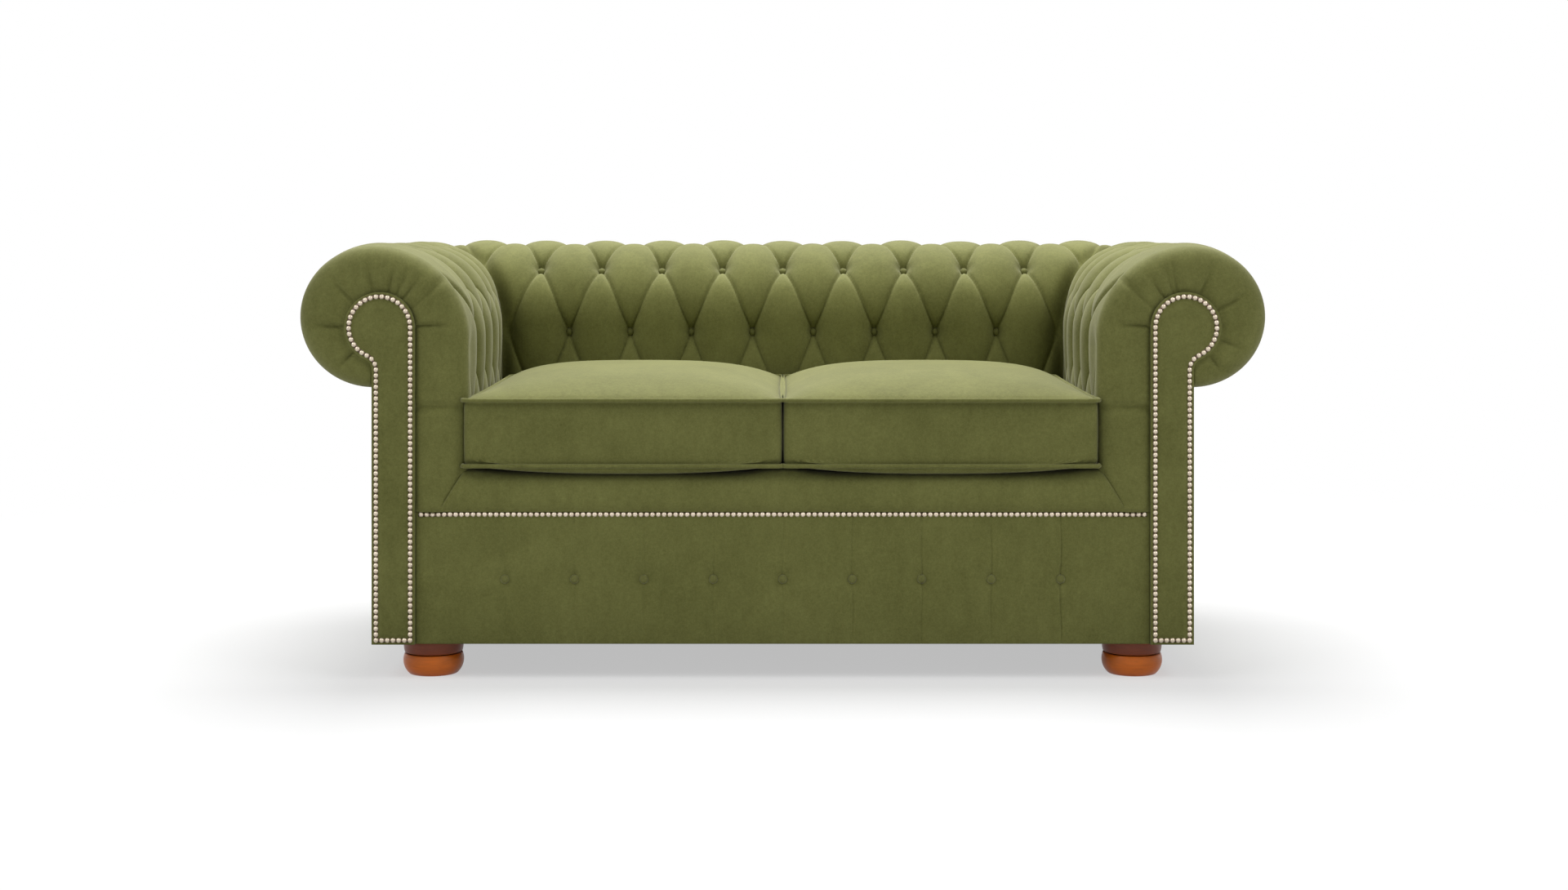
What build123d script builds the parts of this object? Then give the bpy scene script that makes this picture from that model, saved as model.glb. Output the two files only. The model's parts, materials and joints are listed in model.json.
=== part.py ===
"""Two-seat rolled-arm sofa bed: a timber frame, buttoned pads, loose cushions and a three-section bed.

Millimetres. X runs along the seat, -Y is the front, +Z is up. The origin is on the floor at the
middle of the overall box.
"""

import math
import os

from build123d import *

# Overall sizes
OVERALL_DEPTH = 980.0
ROLL_TOP = 782.0
ROLL_RADIUS = 133.0
ROLL_CENTRE_X = 739.0
PAD_REACH = 173.0
BASE_BOTTOM = 63.0
TOUCH_GAP = 0.3
CUT_OVERRUN = 1.0

# Timber and boards
POST_WIDTH = 69.0
POST_DEPTH = 40.0
PANEL_THICK = 5.0
BOARD_THICK = 10.0
TOP_RAIL_HEIGHT = 50.0
PAD_OVER_RAIL = 102.0
FRONT_RAIL_THICK = 26.0
FRONT_RAIL_TOP = 300.0
BACK_RAIL_THICK = 23.0
BACK_RAIL_HEIGHT = 100.0
LOWER_BACK_RAIL = 40.0
SIDE_RAIL_THICK = 30.0
BACK_PAD_BOTTOM = 492.0
CORNER_BLOCK_HEIGHT = 60.0
CORNER_BLOCK_DEPTH = 104.0
DUST_COVER_THICK = 2.0

# Arm fronts and brass trim
FACING_THICK = 12.0
FACING_WIDTH = 77.0
FACING_HEAD_RADIUS = 63.0
FACING_HEAD_DROP = 18.0
FACING_NECK_ROUND = 20.0
PAD_SET_BACK = 4.0
PAD_FRONT_ROUND = 30.0
NAIL_RADIUS = 4.7
NAIL_HEIGHT = 4.0
NAIL_PITCH = 10.4
NAIL_INSET = 8.0

# Front border, seat and buttons
PANEL_SET_BACK = 8.0
PANEL_PAD = 12.0
LIP_DEPTH = 50.0
LIP_FLAT = 10.0
LIP_TOP = 367.0
NAIL_ROW_DROP = 5.0
CUSHION_BORDER = 122.0
CUSHION_CROWN = 50.0
CUSHION_DRAWN_IN = 5.0
CUSHION_FRONT_BACK = 8.0
CUSHION_REAR_GAP = 14.0
BUTTON_RADIUS = 9.0
BUTTON_THICK = 6.0
BUTTON_ROUND = 3.6
TUFT_PITCH = 127.5
TUFT_ROW_LOW = 590.0
TUFT_ROW_ANGLE = 47.0
TUFT_DEPTH = 24.0
TUFT_MOUTH = 34.0
PLEAT_WIDTH = 12.0
ARM_BUTTON_COLUMNS = 4
PANEL_BUTTONS = 9
PANEL_BUTTON_PITCH = 124.6
PANEL_BUTTON_HEIGHT = 179.0

# Turned feet
FOOT_RADIUS = 54.5
FOOT_GROUND_RADIUS = 44.0
FOOT_BUN_HEIGHT = 36.0
FOOT_BULGE_HEIGHT = 20.0
FOOT_GROOVE_WIDTH = 4.0
FOOT_GROOVE_DEPTH = 3.0
FOOT_COLLAR_ROUND = 1.6
FOOT_COLLAR_STEP = 0.4
FOOT_SIDE_INSET = 100.0
FRONT_FOOT_INSET = 80.0
REAR_FOOT_INSET = 69.0
FOOT_BOLT_RADIUS = 4.0
FOOT_BOLT_GRIP = 30.0
FOOT_BOLT_DEPTH = 35.0

# Folding bed
BED_SIDE_GAP = 18.0
BED_BOTTOM = 70.0
ANGLE_LEG = 25.0
ANGLE_THICK = 3.0
DECK_THICK = 1.5
MATTRESS_THICK = 74.5
MATTRESS_ROUND = 12.0
MATTRESS_INSET = 6.0
HINGE_SET_BACK = 22.0
HEAD_REAR_GAP = 96.0
FOLD_REAR_GAP = 27.0
FOOT_FRONT_GAP = 4.0
SECTION_GAP = 1.0
HINGE_PLATE = 3.0
HINGE_PLATE_WIDTH = 24.0
HINGE_PLATE_RUN = 60.0
PIN_RADIUS = 5.0
PIN_CLEARANCE = 0.05
COLLAR_RADIUS = 9.0
SIDE_PLAY = 0.1
LIFT_RISE = 308.0
LIFT_START_DEG = 65.0
LIFT_END_DEG = 95.0
LIFT_ARM_WIDTH = 28.0
LIFT_ARM_THICK = 5.0
LIFT_TIP_FRONT = 106.0
LIFT_TIP_SPACING = 400.0
MOUNT_PLATE_THICK = 4.0
MOUNT_PLATE_HEIGHT = 60.0
LEG_TUBE_RADIUS = 9.0
LEG_INSET = 40.0
LEG_WALL = 1.5
LEG_BEND = 30.0
LEG_EYE_RADIUS = 10.5
MIDDLE_LEG_SIDE_GAP = 43.0
FOOT_LEG_SIDE_GAP = 78.0
LEG_FLOOR_GAP = 2.0
STRAP_WIDTH = 120.0
STRAP_THICK = 1.5

# Places worked out from the sizes above
FRONT = -OVERALL_DEPTH / 2
FACING_FRONT = FRONT + NAIL_HEIGHT
FACING_BACK = FACING_FRONT + FACING_THICK
PAD_FRONT = FACING_FRONT + PAD_SET_BACK
ROLL_CENTRE_Y = OVERALL_DEPTH / 2 - ROLL_RADIUS
ROLL_CENTRE_Z = ROLL_TOP - ROLL_RADIUS
SHOULDER_Z = ROLL_TOP - PAD_REACH
ARM_INSIDE = ROLL_CENTRE_X - PAD_REACH
BACK_INSIDE = ROLL_CENTRE_Y - PAD_REACH
OUTSIDE_OFFSET = 3.0
OUTSIDE_X = ROLL_CENTRE_X - OUTSIDE_OFFSET
OUTSIDE_Y = ROLL_CENTRE_Y - OUTSIDE_OFFSET
POST_OUTER = OUTSIDE_X - PANEL_THICK
POST_INNER = POST_OUTER - POST_WIDTH
POST_REAR = OUTSIDE_Y - PANEL_THICK
BOARD_INNER = POST_INNER - BOARD_THICK
BACK_BOARD_INNER = BOARD_INNER - ROLL_CENTRE_X + ROLL_CENTRE_Y
BACK_BOARD_REAR = BACK_BOARD_INNER + BOARD_THICK
RAIL_TOP = ROLL_TOP - PAD_OVER_RAIL
RAIL_BOTTOM = RAIL_TOP - TOP_RAIL_HEIGHT
ROLL_UNDERSIDE = ROLL_CENTRE_Z - ROLL_RADIUS
ARM_PAD_BOTTOM = FRONT_RAIL_TOP
NAIL_ROW_HEIGHT = FRONT_RAIL_TOP - NAIL_ROW_DROP
PANEL_FRONT = FACING_FRONT + PANEL_SET_BACK
FRONT_RAIL_FRONT = PANEL_FRONT + PANEL_PAD
FRONT_RAIL_BACK = FRONT_RAIL_FRONT + FRONT_RAIL_THICK
LIP_BACK = PANEL_FRONT + LIP_DEPTH
FACING_INNER = OUTSIDE_X - FACING_WIDTH
HEAD_CENTRE_X = FACING_INNER + FACING_HEAD_RADIUS
HEAD_CENTRE_Z = ROLL_CENTRE_Z - FACING_HEAD_DROP
NECK_CENTRE_X = OUTSIDE_X + FACING_NECK_ROUND
NECK_REACH = FACING_HEAD_RADIUS + FACING_NECK_ROUND
NECK_CENTRE_Z = HEAD_CENTRE_Z - math.sqrt(NECK_REACH**2 - (NECK_CENTRE_X - HEAD_CENTRE_X) ** 2)
FOOT_X = OUTSIDE_X - FOOT_SIDE_INSET
FEET_Y = {"front": FRONT + FRONT_FOOT_INSET, "rear": OUTSIDE_Y - REAR_FOOT_INSET}
MOUNT_PLATE_X = ARM_INSIDE
SIDE_RAIL_X = MOUNT_PLATE_X + MOUNT_PLATE_THICK
BACK_COLUMNS = int(ARM_INSIDE / TUFT_PITCH)
TUFT_RISE = SHOULDER_Z - TUFT_ROW_LOW + math.radians(TUFT_ROW_ANGLE) * PAD_REACH

BED_HALF_WIDTH = ARM_INSIDE - BED_SIDE_GAP
MIDDLE_LEG_X = BED_HALF_WIDTH - MIDDLE_LEG_SIDE_GAP
FOOT_LEG_X = BED_HALF_WIDTH - FOOT_LEG_SIDE_GAP
SECTION_HEIGHT = ANGLE_LEG + DECK_THICK + MATTRESS_THICK
HINGE_Y = LIP_BACK + HINGE_SET_BACK
HEAD_REAR = POST_REAR - BACK_RAIL_THICK - HEAD_REAR_GAP
FOLD_Y = BACK_INSIDE - FOLD_REAR_GAP
HINGE_Z = BED_BOTTOM + SECTION_HEIGHT + SECTION_GAP / 2
MIDDLE_TOP = BED_BOTTOM + 2 * SECTION_HEIGHT + SECTION_GAP
FOLD_Z = MIDDLE_TOP + SECTION_GAP / 2
FOOT_BOTTOM = MIDDLE_TOP + SECTION_GAP
FOOT_SECTION_FRONT = LIP_BACK + FOOT_FRONT_GAP
CUSHION_BOTTOM = FOOT_BOTTOM + SECTION_HEIGHT + TOUCH_GAP
INNER_PLATE_X = BED_HALF_WIDTH
OUTER_PLATE_X = INNER_PLATE_X + HINGE_PLATE + SECTION_GAP / 2
LIFT_ARM_X = OUTER_PLATE_X + HINGE_PLATE + SECTION_GAP
LIFT_START = math.radians(LIFT_START_DEG)
LIFT_LENGTH = LIFT_RISE / (math.sin(LIFT_START) + math.sin(math.radians(LIFT_END_DEG)))
LIFT_TIP_Z = BED_BOTTOM + ANGLE_LEG / 2
LIFT_PIVOT_Z = LIFT_TIP_Z + LIFT_LENGTH * math.sin(LIFT_START)
LIFT_TIPS_Y = [HINGE_Y + LIFT_TIP_FRONT, HINGE_Y + LIFT_TIP_FRONT + LIFT_TIP_SPACING]
LIFT_PIVOTS_Y = [tip - LIFT_LENGTH * math.cos(LIFT_START) for tip in LIFT_TIPS_Y]
LEG_LENGTH = LIFT_TIP_Z + LIFT_RISE - LEG_FLOOR_GAP - LEG_TUBE_RADIUS
SIDES = {"left": -1, "right": 1}
STANDING = (Align.CENTER, Align.CENTER, Align.MIN)

parts = {}


def block(low, high):
    """A box between two corners."""
    size = [b - a for a, b in zip(low, high)]
    return Pos(*low) * Box(*size, align=(Align.MIN, Align.MIN, Align.MIN))


def mirrored(shape, side):
    """The shape as made for the right-hand side, or its mirror image for the left."""
    return shape if side > 0 else mirror(shape, about=Plane.YZ)


def rod(x0, x1, y, z, radius):
    """A round bar along X."""
    return Pos((x0 + x1) / 2, y, z) * Rot(0, 90, 0) * Cylinder(radius, abs(x1 - x0))


def roll_profile(bottom):
    """Hooked pad section: inner face, shoulder arc, outer roll and the hollow round the timber.

    Drawn with u outwards from the roll's centre line and v upwards.
    """
    shoulder = Vector(-PAD_REACH * math.sqrt(0.5), SHOULDER_Z + PAD_REACH * math.sqrt(0.5))
    lines = [
        Line((-PAD_REACH, bottom), (-PAD_REACH, SHOULDER_Z)),
        ThreePointArc((-PAD_REACH, SHOULDER_Z), shoulder, (0, ROLL_TOP)),
        ThreePointArc((0, ROLL_TOP), (ROLL_RADIUS, ROLL_CENTRE_Z), (0, ROLL_UNDERSIDE)),
        Polyline(
            (0, ROLL_UNDERSIDE),
            (-OUTSIDE_OFFSET, ROLL_UNDERSIDE),
            (-OUTSIDE_OFFSET, RAIL_TOP),
            (BOARD_INNER - ROLL_CENTRE_X, RAIL_TOP),
            (BOARD_INNER - ROLL_CENTRE_X, bottom),
            (-PAD_REACH, bottom),
        ),
    ]
    return make_face(lines)


def mitre_half(side_of_arm):
    """A big block on one side of the upright mitre through the right-hand rear corner."""
    reach = 2 * OVERALL_DEPTH
    corner = (ROLL_CENTRE_X, ROLL_CENTRE_Y)
    ahead = [corner, (corner[0] - reach, corner[1] - reach), (corner[0] + reach, corner[1] - reach),
             (corner[0] + reach, corner[1] + reach)]
    behind = [corner, (corner[0] - reach, corner[1] - reach), (corner[0] - reach, corner[1] + reach),
              (corner[0] + reach, corner[1] + reach)]
    outline = ahead if side_of_arm else behind
    return extrude(make_face(Polyline(*outline, close=True)), amount=2 * ROLL_TOP)


def roll_point(along):
    """(u, v, normal u, normal v) on the pad's outside, measured up from the lower button row."""
    straight = SHOULDER_Z - TUFT_ROW_LOW
    if along <= straight:
        return -PAD_REACH, TUFT_ROW_LOW + along, -1.0, 0.0
    angle = (along - straight) / PAD_REACH
    normal = (-math.cos(angle), math.sin(angle))
    return PAD_REACH * normal[0], SHOULDER_Z + PAD_REACH * normal[1], *normal


def tuft_cutter(point, normal):
    """A cone that sinks the cloth at one button."""
    plane = Plane(origin=point - normal * TUFT_DEPTH, z_dir=normal)
    return plane * Cone(BUTTON_RADIUS, TUFT_MOUTH, TUFT_DEPTH + CUT_OVERRUN, align=STANDING)


def pleat_cutter(start, end, normal):
    """A V-shaped groove for the pleat between two sunk buttons."""
    run = end - start
    across = run.cross(normal).normalized()
    out = across.cross(run.normalized())
    tall = 3 * TUFT_DEPTH
    plane = Plane(origin=start, x_dir=across, z_dir=run.normalized())
    rise = 1 if plane.y_dir.dot(out) > 0 else -1
    shape = Polyline((0, 0), (PLEAT_WIDTH, rise * tall), (-PLEAT_WIDTH, rise * tall), close=True)
    return plane * extrude(make_face(shape), amount=run.length)


def tufts(pad, rows, place):
    """Cuts the buttons' pits and the pleats between neighbouring rows, and makes the buttons.

    rows holds (distance up the pad, places along it); place turns a place and a profile point into
    a position and a normal.
    """
    sunk, cutters, buttons = [], [], []
    for up, alongs in rows:
        row = []
        for along in alongs:
            point, normal = place(along, roll_point(up))
            cutters.append(tuft_cutter(point, normal))
            seat = Plane(origin=point - normal * TUFT_DEPTH, z_dir=normal)
            buttons.append(seat * fillet_button())
            row.append((along, point - normal * (TUFT_DEPTH - BUTTON_THICK), normal))
        sunk.append(row)
    for low, high in zip(sunk, sunk[1:]):
        for along, point, normal in low:
            for other, target, other_normal in high:
                if abs(other - along) < TUFT_PITCH:
                    cutters.append(pleat_cutter(point, target, (normal + other_normal).normalized()))
    return pad - cutters, buttons


def fillet_button():
    """A covered button: a low disc with a rounded rim, standing on its own plane."""
    disc = Cylinder(BUTTON_RADIUS - TOUCH_GAP, BUTTON_THICK, align=STANDING)
    return fillet(disc.edges().sort_by(Axis.Z)[-1], BUTTON_ROUND)


def pair(shape):
    """The right-hand shape and its mirror image."""
    return Compound(children=[mirrored(shape, -1), shape])


def timber_frame():
    """Rails, posts and boards of the beech and plywood carcass."""
    front, front_back = FACING_BACK, FACING_BACK + POST_DEPTH
    parts["front_posts"] = pair(
        block((POST_INNER, front, BASE_BOTTOM), (POST_OUTER, front_back, RAIL_BOTTOM))
    )
    parts["rear_posts"] = pair(
        block((POST_INNER, BACK_BOARD_REAR, BASE_BOTTOM), (POST_OUTER, POST_REAR, RAIL_BOTTOM))
    )
    parts["arm_top_rails"] = pair(
        block((POST_INNER, front, RAIL_BOTTOM), (OUTSIDE_X, BACK_BOARD_REAR, RAIL_TOP))
    )
    parts["inside_arm_boards"] = pair(
        block((BOARD_INNER, front, ARM_PAD_BOTTOM), (POST_INNER, BACK_BOARD_REAR, RAIL_TOP))
    )
    parts["arm_base_rails"] = pair(
        block(
            (POST_INNER, front_back, BASE_BOTTOM),
            (POST_OUTER, BACK_BOARD_REAR, BASE_BOTTOM + CORNER_BLOCK_HEIGHT),
        )
    )
    parts["bed_side_rails"] = pair(
        block(
            (SIDE_RAIL_X, FRONT_RAIL_BACK, BASE_BOTTOM),
            (SIDE_RAIL_X + SIDE_RAIL_THICK, POST_REAR - BACK_RAIL_THICK, ARM_PAD_BOTTOM),
        )
    )
    parts["front_rail"] = block(
        (-POST_INNER, FRONT_RAIL_FRONT, BASE_BOTTOM), (POST_INNER, FRONT_RAIL_BACK, FRONT_RAIL_TOP)
    )
    parts["back_base_rail"] = block(
        (-POST_INNER, POST_REAR - BACK_RAIL_THICK, BASE_BOTTOM),
        (POST_INNER, POST_REAR, BASE_BOTTOM + BACK_RAIL_HEIGHT),
    )
    parts["back_top_rail"] = block(
        (-OUTSIDE_X, BACK_BOARD_REAR, RAIL_BOTTOM), (OUTSIDE_X, OUTSIDE_Y, RAIL_TOP)
    )
    parts["back_lower_rail"] = block(
        (-POST_INNER, BACK_BOARD_REAR, BACK_PAD_BOTTOM),
        (POST_INNER, BACK_BOARD_REAR + LOWER_BACK_RAIL, BACK_PAD_BOTTOM + LOWER_BACK_RAIL),
    )
    parts["inside_back_board"] = block(
        (-BOARD_INNER, BACK_BOARD_INNER, BACK_PAD_BOTTOM), (BOARD_INNER, BACK_BOARD_REAR, RAIL_TOP)
    )
    blocks = []
    for side in SIDES.values():
        for y0 in (FRONT_RAIL_BACK, POST_REAR - BACK_RAIL_THICK - CORNER_BLOCK_DEPTH):
            corner = block(
                (SIDE_RAIL_X + SIDE_RAIL_THICK, y0, BASE_BOTTOM),
                (POST_INNER, y0 + CORNER_BLOCK_DEPTH, BASE_BOTTOM + CORNER_BLOCK_HEIGHT),
            )
            for foot_y in FEET_Y.values():
                corner -= Pos(FOOT_X, foot_y, BASE_BOTTOM) * Cylinder(
                    FOOT_BOLT_RADIUS, 2 * FOOT_BOLT_DEPTH
                )
            blocks.append(mirrored(corner, side))
    parts["corner_blocks"] = Compound(children=blocks)


def outside_covers():
    """Covered outside panels and the cloth under the base."""
    for name, side in SIDES.items():
        panel = block(
            (POST_OUTER, FACING_BACK, BASE_BOTTOM), (OUTSIDE_X, OUTSIDE_Y, ROLL_UNDERSIDE)
        )
        parts[f"outside_arm_panel_{name}"] = mirrored(panel, side)
    parts["outside_back_panel"] = block(
        (-POST_OUTER, POST_REAR, BASE_BOTTOM), (POST_OUTER, OUTSIDE_Y, ROLL_UNDERSIDE)
    )
    cover = block(
        (-POST_OUTER, FRONT_RAIL_FRONT, BASE_BOTTOM - DUST_COVER_THICK),
        (POST_OUTER, POST_REAR, BASE_BOTTOM),
    )
    for x in (-FOOT_X, FOOT_X):
        for y in FEET_Y.values():
            cover -= Pos(x, y, BASE_BOTTOM) * Cylinder(FOOT_RADIUS, 2 * BASE_BOTTOM)
    parts["dust_cover"] = cover


def facing_outline(grow):
    """Arm front: an upright strip with a round scroll head and a hollow neck, in the XZ plane."""
    strip = Pos((FACING_INNER + OUTSIDE_X) / 2, (BASE_BOTTOM + HEAD_CENTRE_Z) / 2) * Rectangle(
        FACING_WIDTH + 2 * grow, HEAD_CENTRE_Z - BASE_BOTTOM + 2 * grow
    )
    head = Pos(HEAD_CENTRE_X, HEAD_CENTRE_Z) * Circle(FACING_HEAD_RADIUS + grow)
    head_middle, neck_middle = (HEAD_CENTRE_X, HEAD_CENTRE_Z), (NECK_CENTRE_X, NECK_CENTRE_Z)
    neck = make_face(Polyline(head_middle, neck_middle, (HEAD_CENTRE_X, NECK_CENTRE_Z), close=True))
    neck -= Pos(NECK_CENTRE_X, NECK_CENTRE_Z) * Circle(FACING_NECK_ROUND - grow)
    return Plane.XZ * (strip + head + neck)


def nail_head():
    """A domed brass nail head lying on the XZ plane and standing out towards -Y."""
    ball_radius = (NAIL_RADIUS**2 + NAIL_HEIGHT**2) / (2 * NAIL_HEIGHT)
    ball = Pos(0, ball_radius - NAIL_HEIGHT, 0) * Sphere(ball_radius)
    reach = 2 * NAIL_RADIUS
    return ball & block((-reach, -reach, -reach), (reach, 0, reach))


def spaced(start, stop, pitch):
    """Evenly spaced places from start to stop, as near to the pitch as divides the run."""
    count = max(1, round(abs(stop - start) / pitch))
    return [start + (stop - start) * i / count for i in range(count + 1)]


def facing_nail_places():
    """Nail centres round an arm front: up the inside, over the head, down the outside, along the foot."""
    inner, outer = FACING_INNER + NAIL_INSET, OUTSIDE_X - NAIL_INSET
    low = BASE_BOTTOM + NAIL_INSET
    head_radius, neck_radius = FACING_HEAD_RADIUS - NAIL_INSET, FACING_NECK_ROUND + NAIL_INSET
    neck_angle = math.atan2(HEAD_CENTRE_Z - NECK_CENTRE_Z, NECK_CENTRE_X - HEAD_CENTRE_X)
    places = [(inner, z) for z in spaced(low, HEAD_CENTRE_Z, NAIL_PITCH)]
    for turn in spaced(math.pi, -neck_angle, NAIL_PITCH / head_radius)[1:]:
        x = HEAD_CENTRE_X + head_radius * math.cos(turn)
        places.append((x, HEAD_CENTRE_Z + head_radius * math.sin(turn)))
    for turn in spaced(math.pi - neck_angle, math.pi, NAIL_PITCH / neck_radius)[1:]:
        x = NECK_CENTRE_X + neck_radius * math.cos(turn)
        places.append((x, NECK_CENTRE_Z + neck_radius * math.sin(turn)))
    places += [(outer, z) for z in spaced(NECK_CENTRE_Z, low, NAIL_PITCH)[1:]]
    places += [(x, low) for x in spaced(outer, inner, NAIL_PITCH)[1:-1]]
    return places


def arm_fronts():
    """Arm facings with their nails, and the nail row along the front border."""
    nail = nail_head()
    for name, side in SIDES.items():
        facing = extrude(facing_outline(0), amount=FACING_THICK)
        facing = Pos(0, FACING_BACK, 0) * facing
        parts[f"arm_facing_{name}"] = mirrored(facing, side)
        nails = [Pos(side * x, FACING_FRONT, z) * nail for x, z in facing_nail_places()]
        parts[f"facing_nails_{name}"] = Compound(children=nails)
    reach = FACING_INNER - NAIL_PITCH
    row = [Pos(x, PANEL_FRONT, NAIL_ROW_HEIGHT) * nail for x in spaced(-reach, reach, NAIL_PITCH)]
    parts["border_nails"] = Compound(children=row)


def arm_and_back_pads():
    """Buttoned inside pads that roll over the arms and the back and meet at upright mitres."""
    pad_run = ROLL_CENTRE_Y + ROLL_RADIUS - PAD_FRONT
    section = Plane(origin=(ROLL_CENTRE_X, PAD_FRONT, 0), x_dir=(1, 0, 0), z_dir=(0, -1, 0))
    pocket = Pos(0, FACING_BACK, 0) * extrude(facing_outline(TOUCH_GAP), amount=2 * FACING_THICK)
    for name, side in SIDES.items():
        pad = extrude(section * roll_profile(ARM_PAD_BOTTOM), amount=-pad_run)
        rims = [e for e in pad.edges().filter_by(GeomType.CIRCLE) if abs(e.center().Y - PAD_FRONT) < 1]
        pad = fillet(rims, PAD_FRONT_ROUND)
        pad = pad & mitre_half(True)
        pad -= pocket

        def on_arm(along, spot):
            u, v, nu, nv = spot
            return Vector(ROLL_CENTRE_X + u, along, v), Vector(nu, 0, nv)

        last = ROLL_CENTRE_Y - ROLL_CENTRE_X + TUFT_PITCH * BACK_COLUMNS
        high = [last - TUFT_PITCH * i for i in range(ARM_BUTTON_COLUMNS)]
        low = [y - TUFT_PITCH / 2 for y in high]
        pad, buttons = tufts(pad, [(0, low), (TUFT_RISE, high)], on_arm)
        parts[f"arm_pad_{name}"] = mirrored(pad, side)
    parts["arm_buttons"] = Compound(children=buttons + [mirrored(button, -1) for button in buttons])
    section = Plane(origin=(0, ROLL_CENTRE_Y, 0), x_dir=(0, 1, 0), z_dir=(1, 0, 0))
    half = ROLL_CENTRE_X + ROLL_RADIUS
    pad = extrude(section * roll_profile(BACK_PAD_BOTTOM), amount=half, both=True)
    pad = pad & mitre_half(False) & mirror(mitre_half(False), about=Plane.YZ)

    def on_back(along, spot):
        u, v, nu, nv = spot
        return Vector(along, ROLL_CENTRE_Y + u, v), Vector(0, nu, nv)

    high = [TUFT_PITCH * i for i in range(-BACK_COLUMNS, BACK_COLUMNS + 1)]
    low = [x - TUFT_PITCH / 2 for x in high[1:]]
    parts["back_pad"], buttons = tufts(pad, [(0, low), (TUFT_RISE, high)], on_back)
    parts["back_buttons"] = Compound(children=buttons)


def front_border():
    """Buttoned panel below the nail row and the padded lip above it."""
    panel = block(
        (-FACING_INNER, PANEL_FRONT, BASE_BOTTOM), (FACING_INNER, FRONT_RAIL_FRONT, FRONT_RAIL_TOP)
    )
    buttons = []
    for i in range(PANEL_BUTTONS):
        x = PANEL_BUTTON_PITCH * (i - (PANEL_BUTTONS - 1) / 2)
        seat = Plane(origin=(x, PANEL_FRONT + BUTTON_THICK, PANEL_BUTTON_HEIGHT), z_dir=(0, -1, 0))
        panel -= seat * Cone(BUTTON_RADIUS, 2 * BUTTON_RADIUS, BUTTON_THICK + CUT_OVERRUN, align=STANDING)
        buttons.append(seat * fillet_button())
    parts["front_panel"] = panel
    parts["front_panel_buttons"] = Compound(children=buttons)
    lip_end = ARM_INSIDE - TOUCH_GAP
    slope_end = LIP_BACK - LIP_FLAT
    slope_middle = (
        slope_end - (slope_end - PANEL_FRONT) * math.sqrt(0.5),
        FRONT_RAIL_TOP + (LIP_TOP - FRONT_RAIL_TOP) * math.sqrt(0.5),
    )
    outline = [
        ThreePointArc((PANEL_FRONT, FRONT_RAIL_TOP), slope_middle, (slope_end, LIP_TOP)),
        Polyline(
            (slope_end, LIP_TOP),
            (LIP_BACK, LIP_TOP),
            (LIP_BACK, FRONT_RAIL_TOP),
            (PANEL_FRONT, FRONT_RAIL_TOP),
        ),
    ]
    face = Plane.YZ * make_face(outline)
    parts["front_lip"] = extrude(face, amount=lip_end, both=True)


def seat_cushions():
    """Two boxed cushions with crowned tops and sides drawn in between the corners."""
    y0, y1 = FACING_FRONT + CUSHION_FRONT_BACK, BACK_INSIDE - CUSHION_REAR_GAP
    inner, outer = TOUCH_GAP, ARM_INSIDE - TOUCH_GAP
    middle_x, middle_y = (inner + outer) / 2, (y0 + y1) / 2
    top, crown = CUSHION_BOTTOM + CUSHION_BORDER, CUSHION_CROWN
    draw = CUSHION_DRAWN_IN
    plan = make_face(
        [
            ThreePointArc((inner, y0), (middle_x, y0 + draw), (outer, y0)),
            ThreePointArc((outer, y0), (outer - draw, middle_y), (outer, y1)),
            ThreePointArc((outer, y1), (middle_x, y1 - draw), (inner, y1)),
            ThreePointArc((inner, y1), (inner + draw, middle_y), (inner, y0)),
        ]
    )
    body = Pos(0, 0, CUSHION_BOTTOM) * extrude(plan, amount=CUSHION_BORDER + crown)
    for plane, low, mid, high in (
        (Plane.XZ, inner, middle_x, outer),
        (Plane.YZ, y0, middle_y, y1),
    ):
        dome = make_face(
            [
                ThreePointArc((low, top), (mid, top + crown), (high, top)),
                Polyline((high, top), (high, CUSHION_BOTTOM), (low, CUSHION_BOTTOM), (low, top)),
            ]
        )
        body = body & extrude(plane * dome, amount=2 * OVERALL_DEPTH, both=True)
    for name, side in SIDES.items():
        parts[f"seat_cushion_{name}"] = mirrored(body, side)


def feet():
    """Four turned bun feet with a grooved collar, and the bolts that hold them."""
    collar = FOOT_RADIUS - FOOT_COLLAR_STEP
    rim = collar - FOOT_COLLAR_ROUND
    groove_top = FOOT_BUN_HEIGHT + FOOT_GROOVE_WIDTH
    profile = make_face(
        [
            Polyline((0, 0), (FOOT_GROUND_RADIUS, 0)),
            ThreePointArc(
                (FOOT_GROUND_RADIUS, 0),
                (FOOT_RADIUS, FOOT_BULGE_HEIGHT),
                (rim, FOOT_BUN_HEIGHT),
            ),
            Polyline(
                (rim, FOOT_BUN_HEIGHT),
                (rim - FOOT_GROOVE_DEPTH, (FOOT_BUN_HEIGHT + groove_top) / 2),
                (rim, groove_top),
            ),
            ThreePointArc((rim, groove_top), (collar, (groove_top + BASE_BOTTOM) / 2), (rim, BASE_BOTTOM)),
            Polyline((rim, BASE_BOTTOM), (0, BASE_BOTTOM), (0, 0)),
        ]
    )
    foot = revolve(Plane.XZ * profile, Axis.Z)
    foot -= Pos(0, 0, BASE_BOTTOM) * Cylinder(FOOT_BOLT_RADIUS, 2 * FOOT_BOLT_GRIP)
    bolt = Pos(0, 0, BASE_BOTTOM - FOOT_BOLT_GRIP) * Cylinder(
        FOOT_BOLT_RADIUS, FOOT_BOLT_GRIP + FOOT_BOLT_DEPTH, align=STANDING
    )
    bolts = []
    for end, y in FEET_Y.items():
        for name, side in SIDES.items():
            place = Pos(side * FOOT_X, y, 0)
            parts[f"foot_{end}_{name}"] = place * foot
            bolts.append(place * bolt)
    parts["foot_bolts"] = Compound(children=bolts)


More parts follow.
